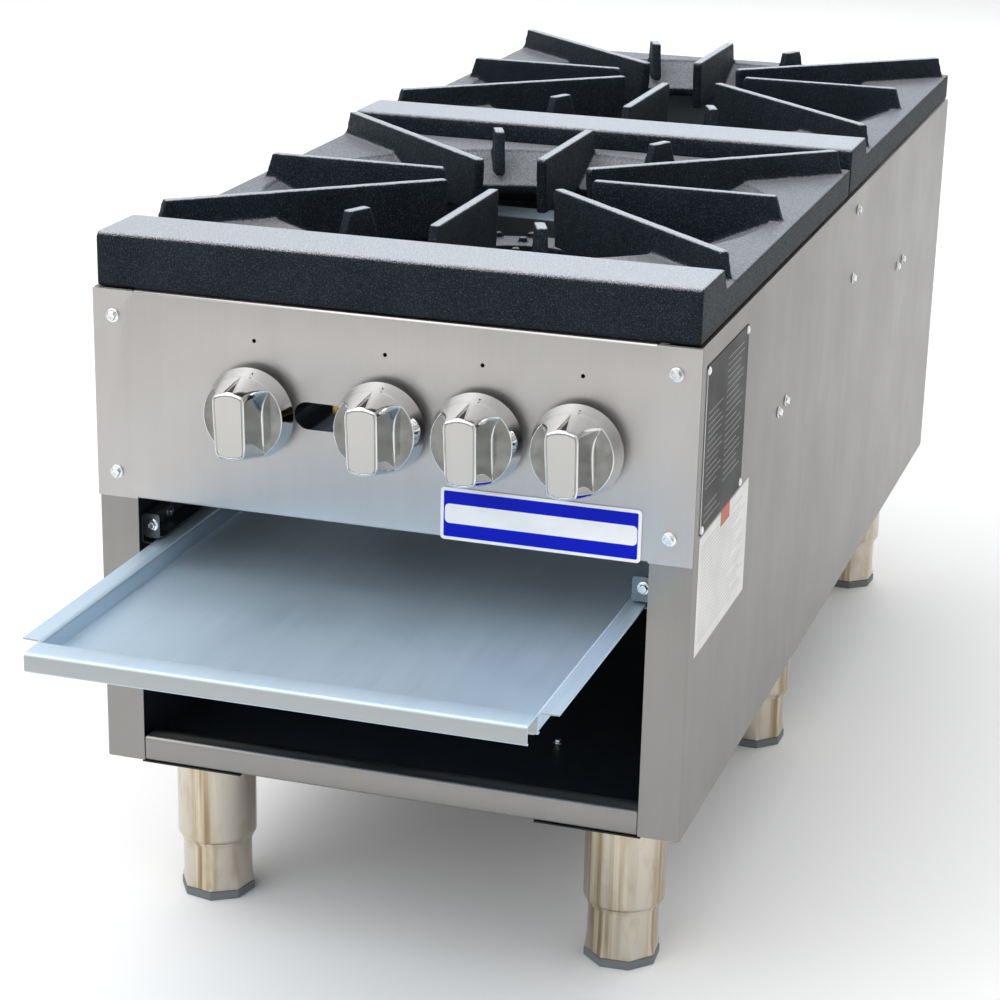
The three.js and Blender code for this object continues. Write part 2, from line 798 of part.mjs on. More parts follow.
function valve() {
  const body = rod("y", [0, valveFront + bonnetLength, 0], valveBack - valveFront - bonnetLength, valveRadius, valveRadius, 16);
  const bonnet = rod("y", [0, valveFront, 0], bonnetLength + 1, valveRadius * 0.95, valveRadius * 0.95, 6);
  const inletTop = manifoldRise - manifoldRadius - seatGap;
  const inlet = rod("z", [0, manifoldBehind, 0], inletTop, 6.5, 6.5, 12);
  const hood = rod("y", [0, valveBack - 1, 0], hoodLength + 1, hoodRadius, hoodRadius * 0.8, 6);
  const bore = rod("y", [0, valveFront - 1, 0], stemBore + 1, stemRadius + seatGap, stemRadius + seatGap, 16);
  return cut(joined(body, bonnet, inlet, hood), bore);
}

const stemFront = -knobGap - knobBore + 1;

function stem() {
  const back = valveFront + stemBore - seatGap;
  const shaft = rod("y", [0, stemFront, 0], back - stemFront, stemRadius, stemRadius, 16);
  const flat = block([-stemRadius - 1, stemRadius + 1], [stemFront - 1, -knobGap], [stemRadius * 0.6, stemRadius + 1]);
  return cut(solidOf(shaft), flat);
}

function knob() {
  const front = -knobGap - knobLength;
  const cone = rod("y", [0, front, 0], knobLength, knobFaceRadius, knobBaseRadius, 44);
  const shelf = -knobGap - knobShelf;
  const away = 2 * knobBaseRadius;
  const shoulder = [[gripHalfFront, front - 1], [gripHalfRoot, shelf], [away, shelf], [away, front - 1]];
  const shoulders = [shoulder, mirrored(shoulder)].map((outline) => extruded("z", outline, -away, away));
  const bore = rod("y", [0, -knobGap - knobBore, 0], knobBore + 1, stemRadius + seatGap, stemRadius + seatGap, 16);
  const boreFlat = block(
    [-stemRadius - 1, stemRadius + 1],
    [-knobGap - knobBore, -knobGap],
    [stemRadius * 0.6 + seatGap, stemRadius + 1],
  );
  const pointer = extruded("z", [[-pointerWidth / 2, -1], [pointerWidth / 2, -1], [0, pointerLength]], 0, away);
  pointer.rotateX(Math.atan2(knobBaseRadius - knobFaceRadius, knobLength));
  pointer.translate(0, front, knobFaceRadius - pointerDepth);
  return cut(solidOf(cone), ...shoulders, pointer).subtract(solidOf(bore).subtract(solidOf(boreFlat)));
}

// The pilot valve below the manifold, and its tube back to a tip beside each burner.
function pilotAssembly() {
  const high = manifoldAxis - manifoldRadius - seatGap;
  const level = knobAxis + 1;
  const back = manifoldBehind + 8;
  const body = block([pilotPlace - 7, pilotPlace + 7], [manifoldBehind - 10, back], [level - 7, level + 7]);
  const inlet = rod("z", [pilotPlace, manifoldBehind, level], high - level, 5, 5, 12);
  const screw = rod("y", [pilotPlace, manifoldBehind - 18, level], 10, 3.5, 3.5, 8);
  const nut = rod("y", [pilotPlace, back - 1, level], 10, 5, 4.6, 6);
  const [frontTip, rearTip] = [burnerCentre.front, burnerCentre.rear].map((y) => y - burnerRingRadius - pilotAhead);
  const tube = tubeAlong(
    [
      [pilotPlace, back + 7, level],
      [pilotPlace, back + 30, level],
      [pilotLine, back + 60, pilotLevel],
      [pilotLine, rearTip, pilotLevel],
      [pilotLine, rearTip, pilotTip],
    ],
    14,
    pilotTubeRadius,
    8,
  );
  const branch = rod("z", [pilotLine, frontTip, pilotLevel], pilotTip - pilotLevel, pilotTubeRadius, pilotTubeRadius, 8);
  return joined(body, inlet, screw, nut, tube, branch);
}

// ---------- drip tray ----------

function dripTray() {
  const top = trayRimTop;
  const low = top - trayDepth;
  const [rim, wall, lip] = [trayRimHalf, trayWallHalf, trayLipHalf];
  const back = trayFront + trayLength;
  const wallFront = trayFront + trayLipDepth;
  const channel = folded(
    [[-rim, top], [-wall, top], [-wall, low], [wall, low], [wall, top], [rim, top]],
    traySheet,
    -1,
  );
  const lipOutline = folded(
    [
      [trayFront + trayLipHem, low],
      [trayFront, low],
      [trayFront, top],
      [wallFront, top],
      [wallFront, low],
      [wallFront + 2 * bendRadius, low],
    ],
    traySheet,
    -1,
  );
  const wallBack = back - trayRearFlange;
  const backOutline = folded(
    [
      [wallBack - 2 * bendRadius, low - traySheet],
      [wallBack, low - traySheet],
      [wallBack, top - traySheet],
      [back, top - traySheet],
    ],
    traySheet,
    1,
  );
  const notch = (side) => {
    const outline = [
      [side * (wall + 1), wallFront - 1],
      [side * (rim + 1), wallFront - 1],
      [side * (rim + 1), wallFront + 2],
      [side * (rim - trayNotch), wallFront + 1],
    ];
    return extruded("z", side > 0 ? outline : outline.reverse(), top - 3 * traySheet, top + 1);
  };
  return cut(
    joined(
      extruded("y", channel, wallFront - traySheet / 2, wallBack - traySheet / 2),
      extruded("x", lipOutline, -lip, lip),
      extruded("x", backOutline, -wall, wall),
    ),
    notch(-1),
    notch(1),
  );
}

// ---------- assembly ----------

const range = new THREE.Group();
const cabinet = new THREE.Group();
range.add(cabinet);

piece(cabinet, "left_side_panel", sidePanel(-1), stainless);
piece(cabinet, "right_side_panel", sidePanel(1), stainless);
piece(cabinet, "rear_panel", rearPanel(), stainless);
piece(cabinet, "control_panel", controlPanel(), stainless);
piece(cabinet, "bottom_front_rail", frontRail(), stainless);
piece(cabinet, "bottom_pan", bottomPan(), blackSteel);
piece(cabinet, "left_liner", liner(-1), blackSteel);
piece(cabinet, "right_liner", liner(1), blackSteel);
piece(cabinet, "center_cross_member", crossMember(), blackSteel);
piece(cabinet, "left_tray_slide", traySlide(-1), galvanised);
piece(cabinet, "right_tray_slide", traySlide(1), galvanised);
screwHoles.forEach(([x, z], index) => {
  piece(cabinet, `panel_screw_${index + 1}`, panelScrew(), chrome).position.set(x, 0, z);
});
piece(cabinet, "badge_plate", badge(), badgeBlue);
piece(cabinet, "rating_plate", ratingPlate(), plateGrey);
piece(cabinet, "left_leg_rail", legRail(-1), blackSteel);
piece(cabinet, "right_leg_rail", legRail(1), blackSteel);

for (const [place, [side, y]] of Object.entries(legPlaces)) {
  const leg = new THREE.Group();
  leg.position.set(side * (halfWidth - legFromSide), y, 0);
  cabinet.add(leg);
  piece(leg, `${place}_leg_tube`, legTube(), legSteel);
  const adjuster = new THREE.Group();
  adjuster.rotation.z = THREE.MathUtils.degToRad(footTurns[place]);
  leg.add(adjuster);
  piece(adjuster, `${place}_foot`, foot(), legSteel);
  piece(adjuster, `${place}_foot_pad`, pad(), padRubber);
}

const valveFeeds = {
  front: { ring: knobPlaces[0], head: knobPlaces[1], aside: -ringRiserAside },
  rear: { head: knobPlaces[2], ring: knobPlaces[3], aside: ringRiserAside },
};
for (const [place, { ring, head, aside }] of Object.entries(valveFeeds)) {
  const centre = burnerCentre[place];
  piece(cabinet, `${place}_burner_support`, burnerSupport(centre), galvanised);
  piece(cabinet, `${place}_ring_burner`, ringBurner(centre, ring, aside), castIron);
  piece(cabinet, `${place}_head_burner`, headBurner(centre, head), castIron);
  const casting = piece(cabinet, `${place}_grate`, grate(), castIron);
  casting.position.set(0, grateFronts[place], grateSeat);
}

piece(cabinet, "gas_manifold", manifold(), blackPipe);
piece(cabinet, "pilot_assembly", pilotAssembly(), brass);
knobPlaces.forEach((x, index) => {
  const control = new THREE.Group();
  control.position.set(x, 0, knobAxis);
  cabinet.add(control);
  piece(control, `gas_valve_${index + 1}`, valve(), brass);
  piece(control, `valve_stem_${index + 1}`, stem(), brass);
  piece(control, `knob_${index + 1}`, knob(), chrome);
});

piece(cabinet, "drip_tray", dripTray(), galvanised);

// The origin: under the middle of everything, from the tray's lip to the gas inlet, on the floor.
const rearmost = bodyDepth + inletStub;
cabinet.position.set(-(seatGap + ratingPlateThickness) / 2, -(trayFront + rearmost) / 2, legHeight);

export default range;
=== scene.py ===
"""The looks of a stock pot range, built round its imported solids.

Pieces are drawn in millimetres in the cabinet's own frame, where y = 0 is the face of the control panel,
z = 0 is the cabinet's underside and x = 0 is its middle, and are then moved into the row frame in metres.
"""

import json
import math

import bmesh
import bpy
from mathutils import Matrix, Vector

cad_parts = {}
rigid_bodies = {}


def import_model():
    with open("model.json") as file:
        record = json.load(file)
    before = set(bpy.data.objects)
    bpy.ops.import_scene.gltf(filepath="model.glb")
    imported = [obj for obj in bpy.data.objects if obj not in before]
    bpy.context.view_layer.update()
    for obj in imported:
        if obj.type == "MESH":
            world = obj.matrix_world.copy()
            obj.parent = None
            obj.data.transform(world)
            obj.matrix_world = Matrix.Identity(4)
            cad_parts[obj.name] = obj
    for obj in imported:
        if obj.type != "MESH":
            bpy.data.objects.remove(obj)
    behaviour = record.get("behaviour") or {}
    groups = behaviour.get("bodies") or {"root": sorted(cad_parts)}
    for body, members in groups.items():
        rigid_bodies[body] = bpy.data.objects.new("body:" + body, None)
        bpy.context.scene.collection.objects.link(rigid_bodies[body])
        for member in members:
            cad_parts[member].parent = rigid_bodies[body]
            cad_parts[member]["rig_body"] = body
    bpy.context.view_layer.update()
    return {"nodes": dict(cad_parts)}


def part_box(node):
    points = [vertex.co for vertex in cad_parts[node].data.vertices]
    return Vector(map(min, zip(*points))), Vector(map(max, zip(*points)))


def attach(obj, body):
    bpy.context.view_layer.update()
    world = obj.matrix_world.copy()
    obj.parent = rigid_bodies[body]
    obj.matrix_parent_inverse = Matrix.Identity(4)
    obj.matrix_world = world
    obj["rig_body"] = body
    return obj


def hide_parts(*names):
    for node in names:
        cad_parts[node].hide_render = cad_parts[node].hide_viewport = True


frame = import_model()
nodes = frame["nodes"]
scene = bpy.context.scene

PER_METRE = 1000  # millimetres in a metre

# ---------- sizes, in millimetres ----------

BODY_WIDTH = 457.2
BODY_DEPTH = 1066.8
BODY_HEIGHT = 372.4
HALF = BODY_WIDTH / 2
LEG_HEIGHT = 138
DECK_RISE = 24.3  # from the cabinet's top to the grates' deck

KNOB_PLACES = (-101.7, -1.5, 71.2, 144.6)
KNOB_AXIS = 293
KNOB_BACK, KNOB_FACE = -8.9, -48.2
KNOB_BASE_RADIUS, KNOB_FACE_RADIUS = 34.1, 24.6
KNOB_SHELF = -23.1
GRIP_HALF, GRIP_ROOT = 12.0, 15.0  # half widths at the face and at the shelf
GRIP_TAPER = 0.018  # how much wider the face's half is for each millimetre up
GRIP_FLARE, FLARE_REACH = 7, 21.5  # how much the root widens towards the top, at what height
GRIP_BULGE, BULGE_REACH = 0.7, 26  # and towards the bottom
GRIP_EDGE, RIM_EDGE = 1.3, 0.9  # the radii of the grip's edge and of the rims behind it
POINTER_START, POINTER_LENGTH, POINTER_HALF = 2.2, 19.5, 3.1
POINTER_DEPTH, POINTER_RIM = 1.5, 0.35
KNOB_TURN = 2  # degrees anticlockwise from upright, as the knobs were left

LEG_X = 170
LEG_ROWS = {"front": 77, "mid": 533.4, "rear": 989.8}
FOOT_TURNS = {
    "front_left": 10,
    "front_right": 26,
    "mid_left": 5,
    "mid_right": 22,
    "rear_left": 14,
    "rear_right": 19,
}

BADGE = dict(left=42.1, right=191.4, low=212.9, high=252.3)
RATING_PLATE = dict(front=16.5, back=144, low=231.5, high=356)
STICKER = dict(front=19, back=174.5, low=138.5, high=229)

PANEL_SCREW_SPOTS = [(-213, 352.6), (-213, 233.2), (211.4, 352.6), (211.4, 233.2)]
SIDE_SCREW_SPOTS = [(570.4, 355), (567.2, 294.8), (837.6, 253.1)]
SIDE_SCREW_SPOTS += [(810, 252.2), (297.9, 255.9), (272.1, 253.3)]
RIVET_SPOTS = [(20.5, 352), (140, 352), (20.5, 235.5), (140, 235.5)]

# ---------- from the cabinet's frame to the row's ----------

panel_low, panel_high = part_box("control_panel")
side_low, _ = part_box("right_side_panel")
cabinet_origin = ((panel_low.x + panel_high.x) / 2, panel_low.y, side_low.z)
CABINET = Matrix.Translation(cabinet_origin) @ Matrix.Scale(1 / PER_METRE, 4)

# ---------- materials ----------

DECK_TOP = (LEG_HEIGHT + BODY_HEIGHT + DECK_RISE) / PER_METRE  # metres above the floor


def plug(tree, socket, value):
    """Feeds a socket from another node's output, or sets its own value."""
    if isinstance(value, bpy.types.NodeSocket):
        tree.links.new(value, socket)
    else:
        socket.default_value = value


def mixed(tree, factor, first, second):
    """A mix of two colours."""
    made = tree.nodes.new("ShaderNodeMix")
    made.data_type = "RGBA"
    for name, value in (("Factor", factor), ("A", first), ("B", second)):
        plug(tree, made.inputs[name], value)
    return made.outputs["Result"]


class Surface:
    """A Principled material with its procedural detail."""

    def __init__(self, name, color, roughness, metallic=0.0, **sockets):
        self.material = bpy.data.materials.new(name)
        self.material.use_nodes = True
        self.tree = self.material.node_tree
        self.shader = self.tree.nodes["Principled BSDF"]
        self.shader.inputs["Base Color"].default_value = (*color, 1)
        self.shader.inputs["Roughness"].default_value = roughness
        self.shader.inputs["Metallic"].default_value = metallic
        for socket, value in sockets.items():
            self.shader.inputs[socket.replace("_", " ")].default_value = value
        self.place = self.tree.nodes.new("ShaderNodeTexCoord").outputs["Object"]

    def node(self, kind, inputs=None, **settings):
        made = self.tree.nodes.new(kind)
        for name, value in settings.items():
            setattr(made, name, value)
        for name, value in (inputs or {}).items():
            plug(self.tree, made.inputs[name], value)
        return made

    def noise(self, scale, detail=3.0, rough=0.5, stretch=(1, 1, 1)):
        """Noise in 0 to 1 with about so many features to the metre along each axis."""
        scales = tuple(scale * s for s in stretch)
        spread = self.node("ShaderNodeMapping", {"Vector": self.place, "Scale": scales}).outputs["Vector"]
        inputs = {"Vector": spread, "Scale": 1.0, "Detail": detail, "Roughness": rough}
        return self.node("ShaderNodeTexNoise", inputs).outputs["Fac"]

    def between(self, factor, low, high, from_low=0.3, from_high=0.7):
        """A value that goes from low to high while the factor goes through its own range."""
        source = {"Value": factor, "From Min": from_low, "From Max": from_high}
        return self.node("ShaderNodeMapRange", {**source, "To Min": low, "To Max": high}).outputs["Result"]

    def blend(self, factor, first, second):
        """A mix of two colours with alpha, each a value or an output."""
        return mixed(self.tree, factor, first, second)

    def tint(self, factor, first, second):
        """A mix of two plain colours."""
        return self.blend(factor, (*first, 1), (*second, 1))

    def facing(self, axis):
        """How much the surface faces along a world axis, -1 to 1."""
        normal = self.node("ShaderNodeNewGeometry").outputs["Normal"]
        return self.node("ShaderNodeSeparateXYZ", {0: normal}).outputs[axis]

    def sum(self, first, second, share=1.0):
        """The first value and a share of the second."""
        made = self.node("ShaderNodeMath", {0: second, 1: share, 2: first}, operation="MULTIPLY_ADD")
        return made.outputs[0]

    def bump(self, height, strength, distance, normal=None):
        """A normal bent by a height, over another bent normal if there is one."""
        inputs = {"Height": height, "Strength": strength, "Distance": distance}
        if normal:
            inputs["Normal"] = normal
        return self.node("ShaderNodeBump", inputs).outputs["Normal"]

    def drive(self, socket, value):
        self.tree.links.new(value, self.shader.inputs[socket])


def brushed_sheet(name, light, dark, roughness, grain, anisotropy=0.6, metallic=1.0, wave=0.12, front=None):
    """Rolled sheet metal with a fine grain along one axis and faint handling marks.

    Where it faces the front squarely it is painted in the tone given for that, if any, as painted shade.
    """
    sheet = Surface(name, light, roughness, metallic, Anisotropic=anisotropy)
    fine = sheet.noise(1.0, 4, 0.6, tuple(9 if axis == grain else 1500 for axis in "xyz"))
    coarse = sheet.noise(1.0, 2, 0.5, tuple(2.5 if axis == grain else 60 for axis in "xyz"))
    marks = sheet.noise(9, 4, 0.6)
    both = sheet.blend(0.35, fine, coarse)
    base = sheet.tint(sheet.between(both, 0, 1, 0.35, 0.65), dark, light)
    # Painted shade: faces turned squarely to the front take the front tone.
    if front:
        front_shade_share = sheet.between(sheet.facing("Y"), 1, 0, -0.95, -0.7)
        base = sheet.blend(front_shade_share, base, (*front, 1))
    sheet.drive("Base Color", base)
    grained = {0: sheet.between(fine, -0.06, 0.06), 1: roughness}
    rough = sheet.node("ShaderNodeMath", grained, operation="ADD").outputs[0]
    smudged = {0: rough, 1: sheet.between(marks, -0.03, 0.05)}
    sheet.drive("Roughness", sheet.node("ShaderNodeMath", smudged, operation="ADD").outputs[0])
    waves = sheet.bump(sheet.noise(5, 1), wave, 0.004)
    sheet.drive("Normal", sheet.bump(fine, 0.05, 0.0002, waves))
    return sheet.material


def cast_iron():
    """Sand-cast iron under a thin dark coat: sharp grains, shallow dimples, and raised up-facing tops
    painted pale, partly pan wear and partly painted sheen.
    """
    iron = Surface("cast_iron", (0.01, 0.013, 0.017), 0.6, 0.0, Specular_IOR_Level=0.18)
    iron.shader.inputs["Specular Tint"].default_value = (0.72, 0.88, 1, 1)
    sand = iron.noise(1100, 3, 0.7)
    grit = iron.noise(420, 3, 0.6)
    patches = iron.noise(26, 4, 0.6)
    speckle = iron.between(sand, 0, 1, 0.55, 0.67)
    base = iron.tint(iron.between(patches, 0, 1), (0.003, 0.0046, 0.007), (0.0075, 0.011, 0.0155))
    coat = iron.blend(speckle, base, (0.058, 0.072, 0.09, 1))
    pale_wear_and_sheen = iron.tint(iron.between(sand, 0, 1, 0.3, 0.7), (0.2, 0.215, 0.24), (0.72, 0.73, 0.77))
    # Raised tops that face up are painted pale and half metallic: partly pan wear, partly painted sheen.
    up_facing_wear_and_sheen = iron.between(iron.sum(iron.facing("Z"), iron.sum(-0.5, sand), 0.9), 0, 1, 0.55, 0.95)
    height = iron.node("ShaderNodeSeparateXYZ", {0: iron.place}).outputs["Z"]
    raised = iron.between(height, 0.5, 1, DECK_TOP + 0.002, DECK_TOP + 0.012)
    top_wear_and_sheen = iron.node("ShaderNodeMath", {0: up_facing_wear_and_sheen, 1: raised}, operation="MULTIPLY").outputs[0]
    iron.drive("Base Color", iron.blend(top_wear_and_sheen, coat, pale_wear_and_sheen))
    iron.drive("Metallic", iron.between(top_wear_and_sheen, 0, 0.55, 0, 1))
    iron.drive("Roughness", iron.between(grit, 0.46, 0.7))
    dimples = iron.bump(patches, 0.25, 0.004)
    coarse = iron.bump(grit, 0.4, 0.0011, dimples)
    iron.drive("Normal", iron.bump(sand, 0.5, 0.0006, coarse))
    return iron.material


def chrome():
    """Bright plating, painted dark where it faces the front squarely, as on the knobs' shelves: a painted
    dark reflection.
    """
    plated = Surface("chrome", (0.74, 0.75, 0.75), 0.06, 1.0)
    haze = plated.noise(60, 3, 0.6)
    base = plated.tint(plated.between(haze, 0, 1), (0.7, 0.71, 0.71), (0.78, 0.785, 0.785))
    # Painted reflection: faces turned squarely to the front take a dark, clouded colour.
    painted_reflection_share = plated.between(plated.facing("Y"), 1, 0, -0.995, -0.96)
    cloud = plated.between(plated.noise(90, 2), 0, 1)
    painted_dark_reflection = plated.tint(cloud, (0.165, 0.165, 0.153), (0.25, 0.254, 0.25))
    plated.drive("Base Color", plated.blend(painted_reflection_share, base, painted_dark_reflection))
    plated.drive("Roughness", plated.between(haze, 0.035, 0.1))
    plated.drive("Normal", plated.bump(plated.noise(35, 2), 0.05, 0.001))
    return plated.material


def polished_tube():
    """Polished stainless tube with streaks along it and a straw tint."""
    tube = Surface("polished_tube", (0.6, 0.55, 0.47), 0.2, 1.0)
    streaks = tube.noise(1.0, 3, 0.6, (150, 150, 3))
    broad = tube.noise(1.0, 2, 0.5, (38, 38, 3))
    smears = tube.noise(1.0, 3, 0.6, (70, 70, 28))
    straw = tube.tint(tube.between(streaks, 0, 1, 0.4, 0.6), (0.325, 0.242, 0.14), (0.69, 0.605, 0.468))
    grey = tube.blend(tube.between(broad, 0, 1, 0.4, 0.6), straw, (0.61, 0.56, 0.48, 1))
    tube.drive("Base Color", tube.blend(tube.between(smears, 0, 0.5, 0.5, 0.7), grey, (0.42, 0.33, 0.2, 1)))
    tube.drive("Roughness", tube.between(streaks, 0.12, 0.27))
    tube.drive("Normal", tube.bump(broad, 0.25, 0.004, tube.bump(streaks, 0.15, 0.001)))
    return tube.material


def coated(name, color, roughness, grain=700, shine=0.5):
    """A coat of paint or plain plastic with a slight orange peel and uneven gloss."""
    coat = Surface(name, color, roughness, Specular_IOR_Level=shine)
    peel = coat.noise(grain, 2)
    cloud = coat.noise(18, 3, 0.6)
    darker = tuple(c * 0.82 for c in color)
    coat.drive("Base Color", coat.tint(coat.between(cloud, 0, 1), darker, color))
    coat.drive("Roughness", coat.between(cloud, roughness - 0.06, roughness + 0.08))
    coat.drive("Normal", coat.bump(peel, 0.25, 0.0002))
    return coat.material


def machined(name, color, roughness):
    """Turned or stamped metal with fine marks and darker stains."""
    metal = Surface(name, color, roughness, 1.0)
    rings = metal.noise(400, 3, 0.6)
    stain = metal.noise(70, 4, 0.6)
    darker = tuple(c * 0.6 for c in color)
    metal.drive("Base Color", metal.tint(metal.between(stain, 0, 1), darker, color))
    metal.drive("Roughness", metal.between(rings, roughness - 0.07, roughness + 0.12))
    metal.drive("Normal", metal.bump(rings, 0.2, 0.0003))
    return metal.material


STAINLESS = brushed_sheet("stainless", (0.51, 0.493, 0.484), (0.478, 0.461, 0.455), 0.38, "z")
# Painted shade: the side panels, bottom rail and seam strips use the same stainless painted darker.
SHADED_SIDE_STEEL = brushed_sheet("shaded_side_stainless", (0.292, 0.285, 0.276), (0.27, 0.263, 0.254), 0.38, "z")
# The tray and burner supports; their faces towards the front are painted a darker grey tone as painted
# shade.
GALVANISED = brushed_sheet(
    "galvanised",
    (0.6, 0.75, 0.88),
    (0.53, 0.68, 0.81),
    0.5,
    "y",
    anisotropy=0.2,
    metallic=0.72,
    wave=0.03,
    front=(0.39, 0.42, 0.43),
)
SATIN = brushed_sheet("satin", (0.62, 0.6, 0.57), (0.575, 0.555, 0.53), 0.5, "z", anisotropy=0.2)
SLIDE_STEEL = brushed_sheet("slide_steel", (0.2, 0.23, 0.25), (0.12, 0.14, 0.155), 0.4, "y", anisotropy=0.2)
IRON = cast_iron()
CHROME = chrome()
TUBE = polished_tube()
ZINC = machined("zinc", (0.92, 0.95, 0.96), 0.22)
BRASS = machined("brass", (0.6, 0.4, 0.15), 0.35)
PIPE = coated("black_pipe", (0.025, 0.025, 0.028), 0.5)
BLACK = coated("black_coat", (0.015, 0.017, 0.022), 0.42, shine=0.3)
PAD = coated("foot_pad", (0.16, 0.18, 0.19), 0.7, 500)
BLUE = coated("badge_blue", (0.0, 0.009, 0.52), 0.5, 300, shine=0.15)
WHITE = coated("badge_white", (0.92, 0.93, 0.95), 0.3, 300)
PLATE = coated("plate_charcoal", (0.014, 0.014, 0.015), 0.5, 500, shine=0.25)
PALE_INK = coated("pale_ink", (0.26, 0.26, 0.26), 0.5, 500)
GREY_INK = coated("grey_ink", (0.45, 0.45, 0.46), 0.6, 500)
PAPER = coated("paper", (0.76, 0.76, 0.74), 0.55, 300)
ORANGE = coated("orange_patch", (0.52, 0.12, 0.05), 0.55, 300)

# ---------- mesh tools ----------


def piece(name, source, material, body, replaced=(), in_row_frame=False):
    """A finished piece: placed, given its material and set to move with a body."""
    if isinstance(source, bmesh.types.BMesh):
        bmesh.ops.recalc_face_normals(source, faces=source.faces)
        mesh = bpy.data.meshes.new(name)
        source.to_mesh(mesh)
        source.free()
    else:
        mesh = source
    if not in_row_frame:
        mesh.transform(CABINET)
    mesh.materials.clear()
    mesh.materials.append(material)
    made = bpy.data.objects.new(name, mesh)
    scene.collection.objects.link(made)
    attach(made, body)
    if replaced:
        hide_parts(*replaced)
    return made


BEVEL_ANGLE = 32  # degrees between faces, from which an edge is rounded


def soften(made, width, segments=2, smooth=42):
    """Rounds the sharp edges and shades the shallow ones smooth. The width is in millimetres."""
    made.data.shade_smooth()
    made.data.set_sharp_from_angle(angle=math.radians(smooth))
    if width:
        bevel = made.modifiers.new("soft_edges", "BEVEL")
        bevel.width = width / PER_METRE
        bevel.segments = segments
        bevel.limit_method = "ANGLE"
        bevel.angle_limit = math.radians(BEVEL_ANGLE)
        bevel.harden_normals = True


def solid_copy(node):
    """A copy of a solid's mesh with its seams closed and its flat faces whole."""
    work = bmesh.new()
    work.from_mesh(nodes[node].data)
    bmesh.ops.remove_doubles(work, verts=work.verts, dist=2e-6)
    bmesh.ops.dissolve_limit(work, angle_limit=math.radians(0.4), verts=work.verts, edges=work.edges)
    mesh = bpy.data.meshes.new(node)
    work.to_mesh(mesh)
    work.free()
    return mesh


def dress(node, material, width=0.3, segments=1):
    """The solid itself with soft edges and smooth bends."""
    body = nodes[node]["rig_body"]
    made = piece(f"{node}_dressed", solid_copy(node), material, body, [node], True)
    soften(made, width, segments)


def cast(mesh, voxel, keep):
    """A mesh remade as a sand casting: every edge and corner rounded by about the voxel's size.

    The voxel is in millimetres, and keep is the share of the faces that is kept.
    """
    work = bpy.data.objects.new("casting", mesh)
    scene.collection.objects.link(work)
    remesh = work.modifiers.new("remesh", "REMESH")
    remesh.mode = "VOXEL"
    remesh.voxel_size = voxel / PER_METRE
    smooth = work.modifiers.new("smooth", "SMOOTH")
    smooth.factor = 0.5
    smooth.iterations = 3
    thin = work.modifiers.new("thin", "DECIMATE")
    thin.ratio = keep
    result = bpy.data.meshes.new_from_object(work.evaluated_get(bpy.context.evaluated_depsgraph_get()))
    bpy.data.objects.remove(work)
    result.shade_smooth()
    return result


def around(count, sides=None):
    """The angles of the first points of a ring, all of them if no number of sides is given."""
    return [2 * math.pi * i / (sides or count) for i in range(count)]


def polar(angle, reach):
    """The place at a distance from the middle in a direction."""
    return reach * math.cos(angle), reach * math.sin(angle)


def turned(profile, axis="z", at=(0, 0, 0), sides=96, closed=False):
    """A profile of (radius, height) pairs turned round an axis.

    Its ends lie on the axis, or are joined up where it is closed.
    """
    shape = bmesh.new()
    x, y, z = Vector((1, 0, 0)), Vector((0, 1, 0)), Vector((0, 0, 1))
    along, across, up = {"x": (x, y, z), "y": (y, x, z), "z": (z, x, y)}[axis]
    rings = []
    for radius, height in profile:
        centre = Vector(at) + along * height
        ring = []
        for angle in around(sides if radius > 1e-6 else 1, sides):
            outward = math.cos(angle) * across + math.sin(angle) * up
            ring.append(shape.verts.new(centre + radius * outward))
        rings.append(ring)
    join_rings(shape, rings + rings[:1] if closed else rings, sides)
    return shape


def join_rings(shape, rings, sides):
    """Faces between one ring of points and the next. A ring may be a single point."""
    for low, high in zip(rings, rings[1:]):
        for i in range(sides):
            j = (i + 1) % sides
            corners = [low[i % len(low)], low[j % len(low)], high[j % len(high)], high[i % len(high)]]
            distinct = list(dict.fromkeys(corners))
            if len(distinct) > 2:
                shape.faces.new(distinct)


def prism(outline, axis, start, end):
    """An outline drawn across an axis (X, Y for z; X, Z for y; Y, Z for x) and extruded along it."""
    shape = bmesh.new()
    place = {
        "z": lambda a, b, h: (a, b, h),
        "y": lambda a, b, h: (a, h, b),
        "x": lambda a, b, h: (h, a, b),
    }[axis]
    low = [shape.verts.new(place(a, b, start)) for a, b in outline]
    high = [shape.verts.new(place(a, b, end)) for a, b in outline]
    shape.faces.new(low)
    shape.faces.new(high)
    join_rings(shape, [low, high], len(outline))
    return shape


def rounded(left, right, low, high, radius, steps=6):
    """The outline of a rectangle with round corners."""
    corners = [(right - radius, high - radius, 0), (left + radius, high - radius, 90)]
    corners += [(left + radius, low + radius, 180), (right - radius, low + radius, 270)]
    points = []
    for x, z, start in corners:
        for i in range(steps + 1):
            angle = math.radians(start + 90 * i / steps)
            points.append((x + radius * math.cos(angle), z + radius * math.sin(angle)))
    return points


def merged(*shapes):
    """Several shapes as one."""
    whole = bmesh.new()
    for shape in shapes:
        mesh = bpy.data.meshes.new("part")
        shape.to_mesh(mesh)
        shape.free()
        whole.from_mesh(mesh)
        bpy.data.meshes.remove(mesh)
    return whole


# ---------- cabinet ----------

for node in ("control_panel", "rear_panel"):
    dress(node, STAINLESS)
for node in ("left_side_panel", "right_side_panel", "bottom_front_rail"):
    dress(node, SHADED_SIDE_STEEL)
DARK_NODES = ["bottom_pan", "left_liner", "right_liner", "center_cross_member"]
DARK_NODES += ["left_leg_rail", "right_leg_rail"]
for node in DARK_NODES:
    dress(node, BLACK)
for node in ("left_tray_slide", "right_tray_slide"):
    dress(node, SLIDE_STEEL)
for node in ("front_burner_support", "rear_burner_support"):
    dress(node, GALVANISED)
dress("drip_tray", GALVANISED)
dress("gas_manifold", PIPE, width=0.5, segments=2)
dress("pilot_assembly", BRASS)
for number in range(1, 5):
    dress(f"gas_valve_{number}", BRASS, width=0.4, segments=2)
    dress(f"valve_stem_{number}", BRASS, segments=2)

